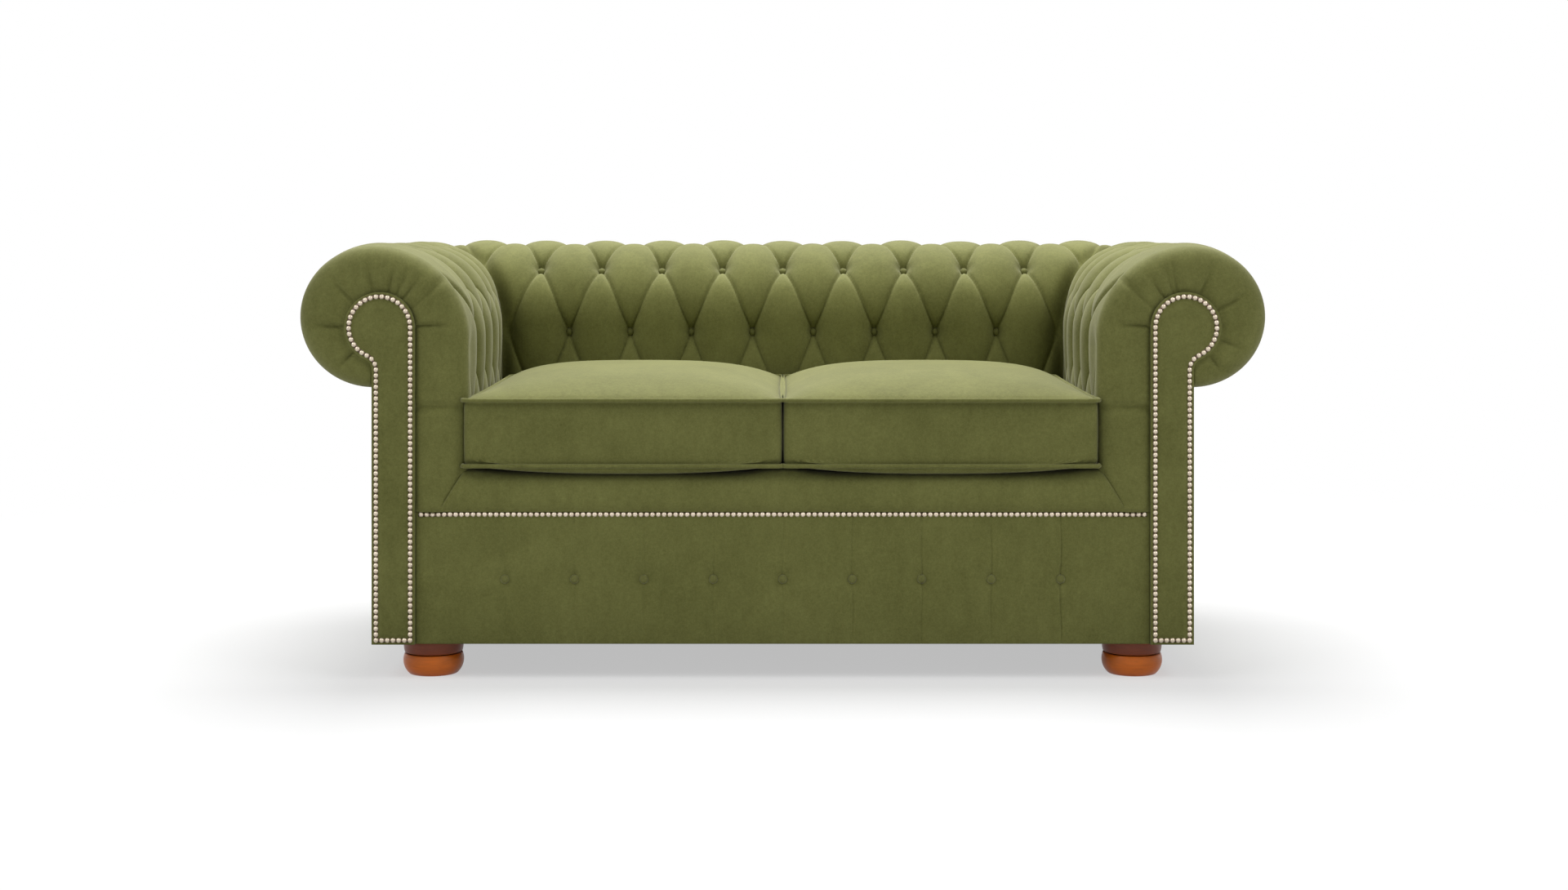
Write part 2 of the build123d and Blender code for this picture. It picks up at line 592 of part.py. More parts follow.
def section_frame(y0, y1, bottom, deck_up):
    """Angle-iron ring of one bed section. The deck side is its top, or its bottom when folded over."""
    web = block((-BED_HALF_WIDTH, y0, bottom), (BED_HALF_WIDTH, y1, bottom + ANGLE_LEG))
    web -= block(
        (-BED_HALF_WIDTH + ANGLE_THICK, y0 + ANGLE_THICK, bottom),
        (BED_HALF_WIDTH - ANGLE_THICK, y1 - ANGLE_THICK, bottom + ANGLE_LEG),
    )
    flange_z = bottom + ANGLE_LEG - ANGLE_THICK if deck_up else bottom
    flange = block((-BED_HALF_WIDTH, y0, flange_z), (BED_HALF_WIDTH, y1, flange_z + ANGLE_THICK))
    flange -= block(
        (-BED_HALF_WIDTH + ANGLE_LEG, y0 + ANGLE_LEG, flange_z),
        (BED_HALF_WIDTH - ANGLE_LEG, y1 - ANGLE_LEG, flange_z + ANGLE_THICK),
    )
    return web + flange


def bed_section(name, y0, y1, bottom, deck_up):
    """Frame, webbing deck and mattress of one section, stacked up or down from the frame."""
    deck_z = bottom + ANGLE_LEG if deck_up else bottom - DECK_THICK
    pad_z = deck_z + DECK_THICK if deck_up else deck_z - MATTRESS_THICK
    edge = MATTRESS_INSET
    parts[f"{name}_deck"] = block(
        (-BED_HALF_WIDTH + ANGLE_THICK, y0, deck_z), (BED_HALF_WIDTH - ANGLE_THICK, y1, deck_z + DECK_THICK)
    )
    pad = block(
        (-BED_HALF_WIDTH + edge, y0 + edge, pad_z),
        (BED_HALF_WIDTH - edge, y1 - edge, pad_z + MATTRESS_THICK),
    )
    parts[f"{name}_mattress"] = fillet(pad.edges(), MATTRESS_ROUND)
    parts[f"{name}_frame"] = section_frame(y0, y1, bottom, deck_up)


def hinge_link(x, pin_y, pin_z, frame_z, run, hole):
    """Side plate from a hinge pin to a section's frame, packed out to the frame where it stands off."""
    half = HINGE_PLATE_WIDTH / 2
    turn = math.copysign(1, run)
    low, high = frame_z - ANGLE_LEG / 2 + ANGLE_THICK, frame_z + ANGLE_LEG / 2 - ANGLE_THICK
    plate = rod(x, x + HINGE_PLATE, pin_y, pin_z, half)
    plate += block((x, min(pin_y, pin_y + run), low), (x + HINGE_PLATE, max(pin_y, pin_y + run), high))
    plate += block(
        (x, min(pin_y, pin_y + turn * half), min(pin_z, frame_z)),
        (x + HINGE_PLATE, max(pin_y, pin_y + turn * half), max(pin_z, frame_z)),
    )
    if x > BED_HALF_WIDTH:
        near, far = sorted((pin_y + turn * (half + ANGLE_THICK), pin_y + run))
        plate += block((BED_HALF_WIDTH, near, low), (x, far, high))
    return plate - rod(x - CUT_OVERRUN, x + HINGE_PLATE + CUT_OVERRUN, pin_y, pin_z, hole)


def lift_arm(pivot_y, tip_y):
    """A flat link from its pivot on the side plate down to its tip on the head section."""
    ends = [(pivot_y, LIFT_PIVOT_Z), (tip_y, LIFT_TIP_Z)]
    middle = [(a + b) / 2 for a, b in zip(*ends)]
    bar = Pos(LIFT_ARM_X + LIFT_ARM_THICK / 2, *middle) * Rot(-LIFT_START_DEG, 0, 0) * Box(
        LIFT_ARM_THICK, LIFT_LENGTH, LIFT_ARM_WIDTH
    )
    for y, z in ends:
        bar += rod(LIFT_ARM_X, LIFT_ARM_X + LIFT_ARM_THICK, y, z, LIFT_ARM_WIDTH / 2)
    near, far = LIFT_ARM_X - CUT_OVERRUN, LIFT_ARM_X + LIFT_ARM_THICK + CUT_OVERRUN
    for y, z in ends:
        bar -= rod(near, far, y, z, PIN_RADIUS + PIN_CLEARANCE)
    return bar


def leg_frame(x, hinge_y, z, reach):
    """U-shaped folding leg of bent tube, lying flat in its section, with an eye at each hinge."""
    end_y = hinge_y + reach
    corners = [(-x, hinge_y, z), (-x, end_y, z), (x, end_y, z), (x, hinge_y, z)]
    path = FilletPolyline(*corners, radius=LEG_BEND)
    ring = Plane(origin=path @ 0, z_dir=path % 0) * (
        Circle(LEG_TUBE_RADIUS) - Circle(LEG_TUBE_RADIUS - LEG_WALL)
    )
    leg = sweep(ring, path=path)
    for side in SIDES.values():
        leg += rod(side * x - LEG_EYE_RADIUS, side * x + LEG_EYE_RADIUS, hinge_y, z, LEG_EYE_RADIUS)
    return leg - rod(-2 * x, 2 * x, hinge_y, z, PIN_RADIUS + PIN_CLEARANCE)


def bed_lift():
    """Side plates with their pivots, and the two pairs of lift arms."""
    low, high = LIFT_PIVOT_Z - MOUNT_PLATE_HEIGHT / 2, LIFT_PIVOT_Z + MOUNT_PLATE_HEIGHT / 2
    ends = [LIFT_PIVOTS_Y[0] - MOUNT_PLATE_HEIGHT / 2, LIFT_PIVOTS_Y[1] + MOUNT_PLATE_HEIGHT / 2]
    plate = block((MOUNT_PLATE_X, ends[0], low), (SIDE_RAIL_X, ends[1], high))
    arm_back = LIFT_ARM_X + LIFT_ARM_THICK
    pins = []
    for y in LIFT_PIVOTS_Y:
        plate -= rod(MOUNT_PLATE_X - CUT_OVERRUN, SIDE_RAIL_X + CUT_OVERRUN, y, LIFT_PIVOT_Z, PIN_RADIUS)
        pin = rod(LIFT_ARM_X, SIDE_RAIL_X, y, LIFT_PIVOT_Z, PIN_RADIUS)
        pins.append(pin + rod(arm_back + SIDE_PLAY, MOUNT_PLATE_X, y, LIFT_PIVOT_Z, COLLAR_RADIUS))
    parts["bed_side_plates"] = pair(plate)
    parts["lift_pivot_pins"] = Compound(children=pins + [mirrored(pin, -1) for pin in pins])
    for name, pivot_y, tip_y in zip(("front", "rear"), LIFT_PIVOTS_Y, LIFT_TIPS_Y):
        parts[f"{name}_lift_arms"] = pair(lift_arm(pivot_y, tip_y))


def folding_bed():
    """Three hinged sections, their links and pins, the legs and the pull strap."""
    middle_bottom = MIDDLE_TOP - ANGLE_LEG
    bed_section("head", HINGE_Y, HEAD_REAR, BED_BOTTOM, True)
    bed_section("middle", HINGE_Y + SECTION_GAP, FOLD_Y, middle_bottom, False)
    bed_section("foot", FOOT_SECTION_FRONT, FOLD_Y, FOOT_BOTTOM, True)
    middle_z = middle_bottom + ANGLE_LEG / 2
    foot_z = FOOT_BOTTOM + ANGLE_LEG / 2
    run, tight, loose = HINGE_PLATE_RUN, PIN_RADIUS, PIN_RADIUS + PIN_CLEARANCE
    parts["head_links"] = pair(hinge_link(INNER_PLATE_X, HINGE_Y, HINGE_Z, LIFT_TIP_Z, run, tight))
    middle_links = [
        hinge_link(OUTER_PLATE_X, HINGE_Y, HINGE_Z, middle_z, run, loose),
        hinge_link(OUTER_PLATE_X, FOLD_Y, FOLD_Z, middle_z, -run, tight),
    ]
    parts["middle_links"] = Compound(children=middle_links + [mirrored(link, -1) for link in middle_links])
    parts["foot_links"] = pair(hinge_link(INNER_PLATE_X, FOLD_Y, FOLD_Z, foot_z, -run, loose))
    outer_face = OUTER_PLATE_X + HINGE_PLATE
    web = BED_HALF_WIDTH - ANGLE_THICK
    head_pins = [rod(INNER_PLATE_X, outer_face, HINGE_Y, HINGE_Z, PIN_RADIUS)]
    for y in LIFT_TIPS_Y:
        tip = rod(BED_HALF_WIDTH, LIFT_ARM_X + LIFT_ARM_THICK, y, LIFT_TIP_Z, PIN_RADIUS)
        head_pins.append(tip + rod(BED_HALF_WIDTH, LIFT_ARM_X - SIDE_PLAY, y, LIFT_TIP_Z, COLLAR_RADIUS))
    middle_leg_y, foot_leg_y = FOLD_Y - LEG_INSET, FOOT_SECTION_FRONT + LEG_INSET
    middle_pins = [
        rod(INNER_PLATE_X, outer_face, FOLD_Y, FOLD_Z, PIN_RADIUS),
        rod(MIDDLE_LEG_X - COLLAR_RADIUS, web, middle_leg_y, middle_z, PIN_RADIUS),
    ]
    foot_pins = [rod(FOOT_LEG_X - COLLAR_RADIUS, web, foot_leg_y, foot_z, PIN_RADIUS)]
    for name, pins in (("head", head_pins), ("middle", middle_pins), ("foot", foot_pins)):
        parts[f"{name}_pins"] = Compound(children=pins + [mirrored(pin, -1) for pin in pins])
    parts["middle_leg"] = leg_frame(MIDDLE_LEG_X, middle_leg_y, middle_z, -LEG_LENGTH)
    parts["foot_leg"] = leg_frame(FOOT_LEG_X, foot_leg_y, foot_z, LEG_LENGTH)
    parts["pull_strap"] = block(
        (-STRAP_WIDTH / 2, FOOT_SECTION_FRONT - STRAP_THICK, FOOT_BOTTOM),
        (STRAP_WIDTH / 2, FOOT_SECTION_FRONT, LIP_TOP),
    )


timber_frame()
outside_covers()
arm_fronts()
arm_and_back_pads()
front_border()
seat_cushions()
feet()
bed_lift()
folding_bed()

os.makedirs("parts", exist_ok=True)
for node, shape in parts.items():
    shape.label = node
    export_step(shape, f"parts/{node}.step")
print(len(parts), "nodes")
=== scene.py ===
"""Dresses the rolled-arm sofa bed: buttoned velvet pads, boxed cushions, nail trim, feet and bed.

Metres, in the part's own frame: X along the seat, -Y out of the front, +Z up.
"""

import json
import logging
import math
from dataclasses import dataclass, field
from enum import Enum
from typing import Any, Iterable, Union

import bmesh
import bpy
import numpy as np
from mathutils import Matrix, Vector


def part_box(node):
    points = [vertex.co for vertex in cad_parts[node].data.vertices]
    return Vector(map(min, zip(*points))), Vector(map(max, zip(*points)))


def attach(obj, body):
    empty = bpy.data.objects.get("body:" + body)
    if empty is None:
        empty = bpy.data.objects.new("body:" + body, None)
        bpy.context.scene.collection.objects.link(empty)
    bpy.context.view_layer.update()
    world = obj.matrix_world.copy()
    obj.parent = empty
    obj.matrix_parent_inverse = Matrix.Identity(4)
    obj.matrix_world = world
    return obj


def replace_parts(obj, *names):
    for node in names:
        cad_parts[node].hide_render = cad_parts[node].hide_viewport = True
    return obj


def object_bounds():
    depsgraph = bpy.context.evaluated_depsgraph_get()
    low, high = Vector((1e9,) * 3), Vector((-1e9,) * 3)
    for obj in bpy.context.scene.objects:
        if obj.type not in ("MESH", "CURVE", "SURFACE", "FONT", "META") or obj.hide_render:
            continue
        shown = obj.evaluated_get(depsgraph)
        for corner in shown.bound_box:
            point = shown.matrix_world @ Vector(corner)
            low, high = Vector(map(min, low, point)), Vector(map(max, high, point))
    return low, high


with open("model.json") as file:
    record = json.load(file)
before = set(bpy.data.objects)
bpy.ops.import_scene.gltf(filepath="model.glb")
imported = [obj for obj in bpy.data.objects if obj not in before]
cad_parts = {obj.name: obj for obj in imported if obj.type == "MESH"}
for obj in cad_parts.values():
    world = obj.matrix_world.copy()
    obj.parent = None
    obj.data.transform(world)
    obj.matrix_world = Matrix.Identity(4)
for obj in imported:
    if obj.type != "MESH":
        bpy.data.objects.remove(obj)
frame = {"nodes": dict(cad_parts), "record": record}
CAD_BOX = [list(corner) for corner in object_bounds()]
LOG = logging.getLogger("sofa")
SECTIONS = ("head", "middle", "foot")
Number = Union[float, "Socket"]
Pair = tuple[float, float]
Triple = tuple[float, float, float]
Curve = tuple[np.ndarray, np.ndarray]


class Side(Enum):
    """The two ends of the sofa, as the sign of X."""

    LEFT = -1
    RIGHT = 1

    @property
    def word(self) -> str:
        """The word that the CAD nodes use for this end."""
        return self.name.lower()


class Socket:
    """A shader socket that can be used in sums, so that an expression adds its Math nodes."""

    def __init__(self, tree: "NodeTree", link: bpy.types.NodeSocket) -> None:
        """Keeps the socket with the tree that it belongs to."""
        self.tree = tree
        self.link = link

    def _math(self, operation: str, first: Number, second: Number) -> "Socket":
        """Adds one Math node."""
        return self.tree.node("Math", {"operation": operation}, {0: first, 1: second})

    def __add__(self, other: Number) -> "Socket":
        """self + other."""
        return self._math("ADD", self, other)

    def __sub__(self, other: Number) -> "Socket":
        """self - other."""
        return self._math("SUBTRACT", self, other)

    def __rsub__(self, other: Number) -> "Socket":
        """other - self."""
        return self._math("SUBTRACT", other, self)

    def __mul__(self, other: Number) -> "Socket":
        """self * other."""
        return self._math("MULTIPLY", self, other)

    __radd__ = __add__
    __rmul__ = __mul__

    def clamp(self) -> "Socket":
        """self held between 0 and 1."""
        return self.tree.node("Clamp", {}, {"Value": self})

    def wave(self, cycles: float) -> "Socket":
        """A sine from 0 to 1 with that many cycles a metre."""
        return 0.5 + 0.5 * self._math("SINE", self * (2 * math.pi * cycles), 0.0)


@dataclass(frozen=True)
class Grain:
    """One noise over an object: its cells a metre, and how fine, rough, stretched and twisted it is."""

    scale: float
    detail: float = 3.0
    roughness: float = 0.55
    stretch: Triple = (1, 1, 1)
    distortion: float = 0.0


class NodeTree:
    """The node tree of one material."""

    def __init__(self, name: str) -> None:
        """Makes a material with a Principled shader.

        Args:
            name: what the material is called.
        """
        self.material = bpy.data.materials.new(name)
        self.material.use_nodes = True
        self.tree = self.material.node_tree
        self.shader = self.tree.nodes["Principled BSDF"]

    def node(self, kind: str, settings: dict[str, Any], inputs: dict[Any, Any], output: Any = 0) -> Socket:
        """Adds a node.

        Args:
            kind: the node's type, after ShaderNode.
            settings: its properties, set first.
            inputs: values or links by socket name or index.
            output: which output to return.

        Returns:
            The chosen output.
        """
        made = self.tree.nodes.new(f"ShaderNode{kind}")
        for key, value in settings.items():
            setattr(made, key, value)
        for key, value in inputs.items():
            if isinstance(value, Socket):
                self.tree.links.new(value.link, made.inputs[key])
            else:
                made.inputs[key].default_value = value
        return Socket(self, made.outputs[output])

    def place(self) -> Socket:
        """The point on the object, in metres."""
        return self.node("TexCoord", {}, {}, "Object")

    def axis(self, letter: str) -> Socket:
        """One coordinate of the point on the object."""
        return self.node("SeparateXYZ", {}, {0: self.place()}, letter)

    def noise(self, grain: Grain) -> Socket:
        """Noise over the object's own coordinates.

        Args:
            grain: its size and character.

        Returns:
            A value from 0 to 1.
        """
        moved = self.node("Mapping", {}, {"Vector": self.place(), "Scale": grain.stretch})
        settled = {"Detail": grain.detail, "Roughness": grain.roughness, "Distortion": grain.distortion}
        return self.node("TexNoise", {}, {"Vector": moved, "Scale": grain.scale, **settled})

    def blend(self, factor: Number, low: Any, high: Any, way: str = "MIX") -> Socket:
        """Mixes two colours, each a triple or a socket.

        Args:
            factor: the share of the second colour.
            low: the first colour.
            high: the second colour.
            way: how they mix.

        Returns:
            The mixed colour.
        """
        tones = [(*tone, 1.0) if isinstance(tone, tuple) else tone for tone in (low, high)]
        settings = {"data_type": "RGBA", "blend_type": way}
        return self.node("Mix", settings, {0: factor, 6: tones[0], 7: tones[1]}, 2)

    def bump(self, height: Socket, strength: float, distance: float) -> Socket:
        """A bumped normal."""
        return self.node("Bump", {}, {"Height": height, "Strength": strength, "Distance": distance})

    def surface(self, **values: Any) -> bpy.types.Material:
        """Sets the shader's sockets.

        Args:
            values: a value, a colour or a link for each socket's name, with _ for a space.

        Returns:
            The material.
        """
        for key, value in values.items():
            socket = self.shader.inputs[key.replace("_", " ")]
            if isinstance(value, Socket):
                self.tree.links.new(value.link, socket)
            else:
                socket.default_value = (*value, 1.0) if isinstance(value, tuple) else value
        return self.material


@dataclass(frozen=True)
class Velvet:
    """Short-pile olive velvet: mottled nap, fine pile and a pale sheen at grazing angles.

    The grains are the nap, the brushing, the fuzz, the tufts and the pile. Each has its weight in the tone
    and, but for the nap, in the relief.
    """

    name: str = "olive_velvet"
    deep: Triple = (0.088, 0.091, 0.021)
    lit: Triple = (0.170, 0.175, 0.052)
    grains: tuple[Grain, ...] = (
        Grain(7.0, 4.0, 0.6, distortion=0.6),
        Grain(46.0, 4.0, 0.65, (1, 1, 0.45)),
        Grain(150.0, 3.0, 0.7),
        Grain(340.0, 2.0, 0.7),
        Grain(1100.0, 2.0, 0.7),
    )
    in_tone: tuple[float, ...] = (0.80, 0.60, 0.75, 0.70, 0.45)
    tone_base: float = -1.15
    in_relief: tuple[float, ...] = (0.4, 0.4, 0.5, 0.5)
    relief: Pair = (0.35, 0.0006)
    rough: Pair = (0.78, 0.14)
    sheen: float = 0.205
    sheen_roughness: float = 0.45
    sheen_tint: Triple = (0.87, 0.83, 0.72)
    specular: float = 0.18

    def make(self) -> bpy.types.Material:
        """Builds the material: its tone and its relief are weighted sums of the grains.

        Returns:
            The finish.
        """
        tree = NodeTree(self.name)
        noises = [tree.noise(grain) for grain in self.grains]
        tone = sum((noise * part for noise, part in zip(noises, self.in_tone)), self.tone_base).clamp()
        height = sum(noise * part for noise, part in zip(noises[1:], self.in_relief))
        return tree.surface(
            Base_Color=tree.blend(tone, self.deep, self.lit),
            Roughness=self.rough[0] + self.rough[1] * noises[-1],
            Normal=tree.bump(height, *self.relief),
            Sheen_Weight=self.sheen,
            Sheen_Roughness=self.sheen_roughness,
            Sheen_Tint=self.sheen_tint,
            Specular_IOR_Level=self.specular,
        )


@dataclass(frozen=True)
class PlainFinish:
    """Two tones mixed by a broad grain, with a fine grain in the roughness and, if asked, in the relief."""

    name: str
    low: Triple
    high: Triple
    broad: Grain
    fine: Grain
    rough: Pair
    relief: Pair = (0.0, 0.0)
    fine_in_tone: float = 0.0
    metallic: float = 0.0
    coat: float = 0.0

    def make(self) -> bpy.types.Material:
        """Builds the material: the tone is a weighted sum of the two grains.

        Returns:
            The finish.
        """
        tree = NodeTree(self.name)
        broad, fine = tree.noise(self.broad), tree.noise(self.fine)
        tone = (broad * (1 - self.fine_in_tone) + fine * self.fine_in_tone).clamp()
        if any(self.relief):
            tree.surface(Normal=tree.bump(fine, *self.relief))
        return tree.surface(
            Base_Color=tree.blend(tone, self.low, self.high),
            Roughness=self.rough[0] + self.rough[1] * fine,
            Metallic=self.metallic,
            Coat_Weight=self.coat,
        )


@dataclass(frozen=True)
class TurnedWood:
    """Polished mahogany foot: a dark collar above the groove and a lighter bun below it, with painted shade
    along the groove.
    """

    name: str = "turned_mahogany"
    groove: float = 0.038
    groove_width: float = 1 / 700
    tone_change: float = 1 / 400
    collar: Triple = (0.24, 0.048, 0.010)
    bun: Triple = (0.80, 0.195, 0.010)
    # painted shade: the dark line along the groove stands in for the shade that falls in it
    stain: Triple = (0.035, 0.010, 0.004)
    grain: Grain = Grain(28.0, 5.0, 0.62, (1.0, 1.0, 6.0), 1.2)
    grain_dark: Triple = (0.5, 0.42, 0.36)
    grain_pale: Triple = (1.15, 1.1, 1.05)
    grain_gain: float = 0.9
    grain_share: float = 0.75
    pores: Grain = Grain(260.0, 2.0, 0.6, (1.0, 1.0, 0.12))
    rough: Pair = (0.3, 0.15)
    relief: Pair = (0.12, 0.0005)
    coat: Pair = (0.14, 0.12)
    specular: float = 0.3

    def make(self) -> bpy.types.Material:
        """Builds the material: the painted groove shade is 1 - d^2 of the height d off the groove, in its
        widths.

        Returns:
            The finish.
        """
        tree = NodeTree(self.name)
        above = tree.axis("Z") - self.groove
        off = above * (1 / self.groove_width)
        tone = tree.blend((above * (1 / self.tone_change)).clamp(), self.bun, self.collar)
        # paints shade along the groove, darkest at its middle
        tone = tree.blend((1.0 - off * off).clamp(), tone, self.stain)
        streaks = (tree.noise(self.grain) * self.grain_gain).clamp()
        grain = tree.blend(streaks, self.grain_dark, self.grain_pale)
        pores = tree.noise(self.pores)
        return tree.surface(
            Base_Color=tree.blend(self.grain_share, tone, grain, "MULTIPLY"),
            Roughness=self.rough[0] + self.rough[1] * pores,
            Normal=tree.bump(pores, *self.relief),
            Coat_Weight=self.coat[0],
            Coat_Roughness=self.coat[1],
            Specular_IOR_Level=self.specular,
        )


@dataclass(frozen=True)
class WovenCloth:
    """Plain weave for the ticking, the webbing and the cloth under the base."""

    name: str
    dark: Triple
    pale: Triple
    threads: float
    stripe: float = 0.0
    stripe_from: float = 0.86
    stripe_edge: float = 12.0
    stripe_depth: float = 0.75
    slub: Grain = Grain(90.0, 3.0, 0.6)
    slub_share: float = 0.55
    rough: Pair = (0.86, 0.1)
    relief: Pair = (0.5, 0.0006)
    specular: float = 0.2

    def make(self) -> bpy.types.Material:
        """Builds the material: crossed sines for the threads, mixed with slubs and darkened by the stripes.

        Returns:
            The finish.
        """
        tree = NodeTree(self.name)
        weave = tree.axis("X").wave(self.threads) * 0.5 + tree.axis("Y").wave(self.threads) * 0.5
        slub = tree.noise(self.slub)
        tone = weave * (1 - self.slub_share) + slub * self.slub_share
        if self.stripe:
            band = ((tree.axis("X").wave(self.stripe) - self.stripe_from) * self.stripe_edge).clamp()
            tone = tone * (1.0 - self.stripe_depth * band)
        return tree.surface(
            Base_Color=tree.blend(tone.clamp(), self.dark, self.pale),
            Roughness=self.rough[0] + self.rough[1] * slub,
            Normal=tree.bump(weave, *self.relief),
            Specular_IOR_Level=self.specular,
        )


@dataclass(frozen=True)
class Finishes:
    """Every finish of the sofa, by the record's slot, and the dark strip under the nails, whose colour is
    painted shade in the gaps between them.
    """

    materials: dict[str, bpy.types.Material]

    @classmethod
    def make(cls) -> "Finishes":
        """Builds all the materials.

        Returns:
            Them all, by slot.
        """
        tarnish, brushed = Grain(60.0, 2.0), Grain(80.0, 3.0, 0.6, (1, 12, 1))
        nail = {"broad": tarnish, "fine": tarnish, "rough": (0.26, 0.16), "metallic": 0.7, "coat": 0.3}
        ways = {
            "velvet": Velvet(),
            "velvet_button": Velvet("olive_velvet_button", (0.096, 0.099, 0.026), (0.155, 0.160, 0.048)),
            "nail_metal": PlainFinish("pale_nail", (0.52, 0.43, 0.32), (0.74, 0.65, 0.52), **nail),
            # painted shade: this dark sheet stands in for the shade in the gaps between the nails
            "painted_nail_gap_shade": PlainFinish("dark_nail_shade_sheet", (0.050, 0.026, 0.016), (0.090, 0.050, 0.032), **nail),
            "mahogany": TurnedWood(),
            "beech": PlainFinish(
                "sawn_beech", (0.36, 0.22, 0.11), (0.60, 0.43, 0.25),
                Grain(9.0, 5.0, 0.6, (0.6, 8.0, 8.0), 0.8), Grain(220.0, 2.0, 0.6, (0.1, 1.0, 1.0)),
                (0.55, 0.2), (0.3, 0.0005), 0.2,
            ),
            "painted_steel": PlainFinish(
                "black_powder_coat", (0.018, 0.018, 0.020), (0.042, 0.042, 0.045), Grain(14.0, 4.0),
                Grain(600.0, 2.0), (0.38, 0.2), (0.18, 0.0003),
            ),
            "zinc_steel": PlainFinish(
                "zinc_plate", (0.48, 0.48, 0.50), (0.68, 0.68, 0.70), brushed, brushed, (0.28, 0.2),
                metallic=1.0,
            ),
            "webbing": WovenCloth("black_webbing", (0.012, 0.012, 0.012), (0.05, 0.05, 0.05), 300.0),
            "lining": WovenCloth("black_lining", (0.010, 0.010, 0.010), (0.03, 0.03, 0.03), 700.0),
            "mattress_ticking": WovenCloth(
                "cream_ticking", (0.30, 0.275, 0.225), (0.53, 0.51, 0.46), 600.0, 22.0
            ),
        }
        return cls({slot: way.make() for slot, way in ways.items()})


def smoothstep(low: float, high: float, value: np.ndarray) -> np.ndarray:
    """A smooth climb from 0 at low to 1 at high: 3r^2 - 2r^3 of the share r between them."""
    share = np.clip((value - low) / (high - low), 0.0, 1.0)
    return share * share * (3.0 - 2.0 * share)


def bell(distance: np.ndarray, width: float) -> np.ndarray:
    """A bell of a distance: exp(-(d / width)^2)."""
    return np.exp(-((distance / width) ** 2))


def points_of(*parts: Union[float, np.ndarray]) -> np.ndarray:
    """Points whose coordinates, the last axis, are the parts broadcast together."""
    return np.stack(np.broadcast_arrays(*parts), -1)


def valley_triangles(height: np.ndarray) -> np.ndarray:
    """Triangles of a grid, each square split along its lower diagonal so that creases stay sharp.

    Args:
        height: (rows, columns) of heights.

    Returns:
        (count, 3) vertex numbers, with vertices numbered row by row.
    """
    rows, cols = height.shape
    index = np.arange(rows * cols).reshape(rows, cols)
    a, b, c, d = index[:-1, :-1], index[:-1, 1:], index[1:, 1:], index[1:, :-1]
    falling = height[:-1, :-1] + height[1:, 1:] <= height[:-1, 1:] + height[1:, :-1]
    first = np.where(falling[..., None], np.stack([a, b, c], -1), np.stack([a, b, d], -1))
    second = np.where(falling[..., None], np.stack([a, c, d], -1), np.stack([b, c, d], -1))
    return np.concatenate([first.reshape(-1, 3), second.reshape(-1, 3)])


def grid_quads(rows: int, cols: int, around: bool = False) -> np.ndarray:
    """Squares of a grid whose vertices are numbered row by row.

    Args:
        rows: how many rows of vertices.
        cols: how many columns.
        around: whether the last column joins the first.

    Returns:
        (count, 4) vertex numbers.
    """
    index = np.arange(rows * cols).reshape(rows, cols)
    if around:
        index = np.concatenate([index, index[:, :1]], axis=1)
    corners = (index[:-1, :-1], index[:-1, 1:], index[1:, 1:], index[1:, :-1])
    return np.stack(corners, -1).reshape(-1, 4)


@dataclass
class Draft:
    """Patches of one piece, gathered before they become a mesh."""

    name: str
    points: list[np.ndarray] = field(default_factory=list)
    faces: list[np.ndarray] = field(default_factory=list)
    count: int = 0

    def add(self, points: np.ndarray, faces: np.ndarray) -> "Draft":
        """Adds a patch.

        Args:
            points: its vertices, in any grid.
            faces: rows of vertex numbers, counted from the patch's own first vertex.

        Returns:
            The draft itself.
        """
        flat = points.reshape(-1, 3)
        self.points.append(flat)
        self.faces.append(faces + self.count)
        self.count += len(flat)
        return self

    def sheet(self, points: np.ndarray, around: bool = False) -> "Draft":
        """Adds a (rows, columns, 3) grid as squares."""
        return self.add(points, grid_quads(*points.shape[:2], around))

    def mesh(self, merge: float = 1e-5, close: bool = True) -> bpy.types.Mesh:
        """Joins the patches, merges doubled points, closes holes and turns the faces outwards.

        Args:
            merge: the distance within which points are one.
            close: whether open rims are filled.

        Returns:
            The mesh.
        """
        data = bpy.data.meshes.new(self.name)
        faces = [row for block in self.faces for row in block.tolist()]
        data.from_pydata(np.concatenate(self.points).tolist(), [], faces)
        work = bmesh.new()
        work.from_mesh(data)
        bmesh.ops.remove_doubles(work, verts=work.verts, dist=merge)
        bmesh.ops.dissolve_degenerate(work, edges=work.edges, dist=merge / 4)
        rims = [edge for edge in work.edges if edge.is_boundary]
        if close and rims:
            bmesh.ops.holes_fill(work, edges=rims, sides=0)
        bmesh.ops.recalc_face_normals(work, faces=work.faces)
        work.to_mesh(data)
        work.free()
        data.polygons.foreach_set("use_smooth", np.ones(len(data.polygons), dtype=bool))
        return data

    def piece(
        self, finishes: Finishes, slot: str, body: str = "sofa", finish: str = "", **options: Any
    ) -> bpy.types.Object:
        """Makes the object, gives it its finish and seats it on its body.

        Args:
            finishes: every finish.
            slot: the record's slot, which is also the finish unless another is named.
            body: the body that carries the piece.
            finish: another finish, for a slot that has two.
            options: how the mesh is joined.

        Returns:
            The object.
        """
        made = bpy.data.objects.new(self.name, self.mesh(**options))
        bpy.context.collection.objects.link(made)
        made.data.materials.append(finishes.materials[finish or slot])
        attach(made, body)
        LOG.info("%s: %d faces on %s", self.name, len(made.data.polygons), body)
        return made

    def cover(self, finishes: Finishes, node: str, fill: float) -> None:
        """Makes a padded velvet cover of the sofa.

        Args:
            finishes: every finish.
            node: the CAD node whose place it takes.
            fill: from 0, slack, to 1, full and tight; not used.
        """
        made = self.piece(finishes, "velvet")
        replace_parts(made, node)


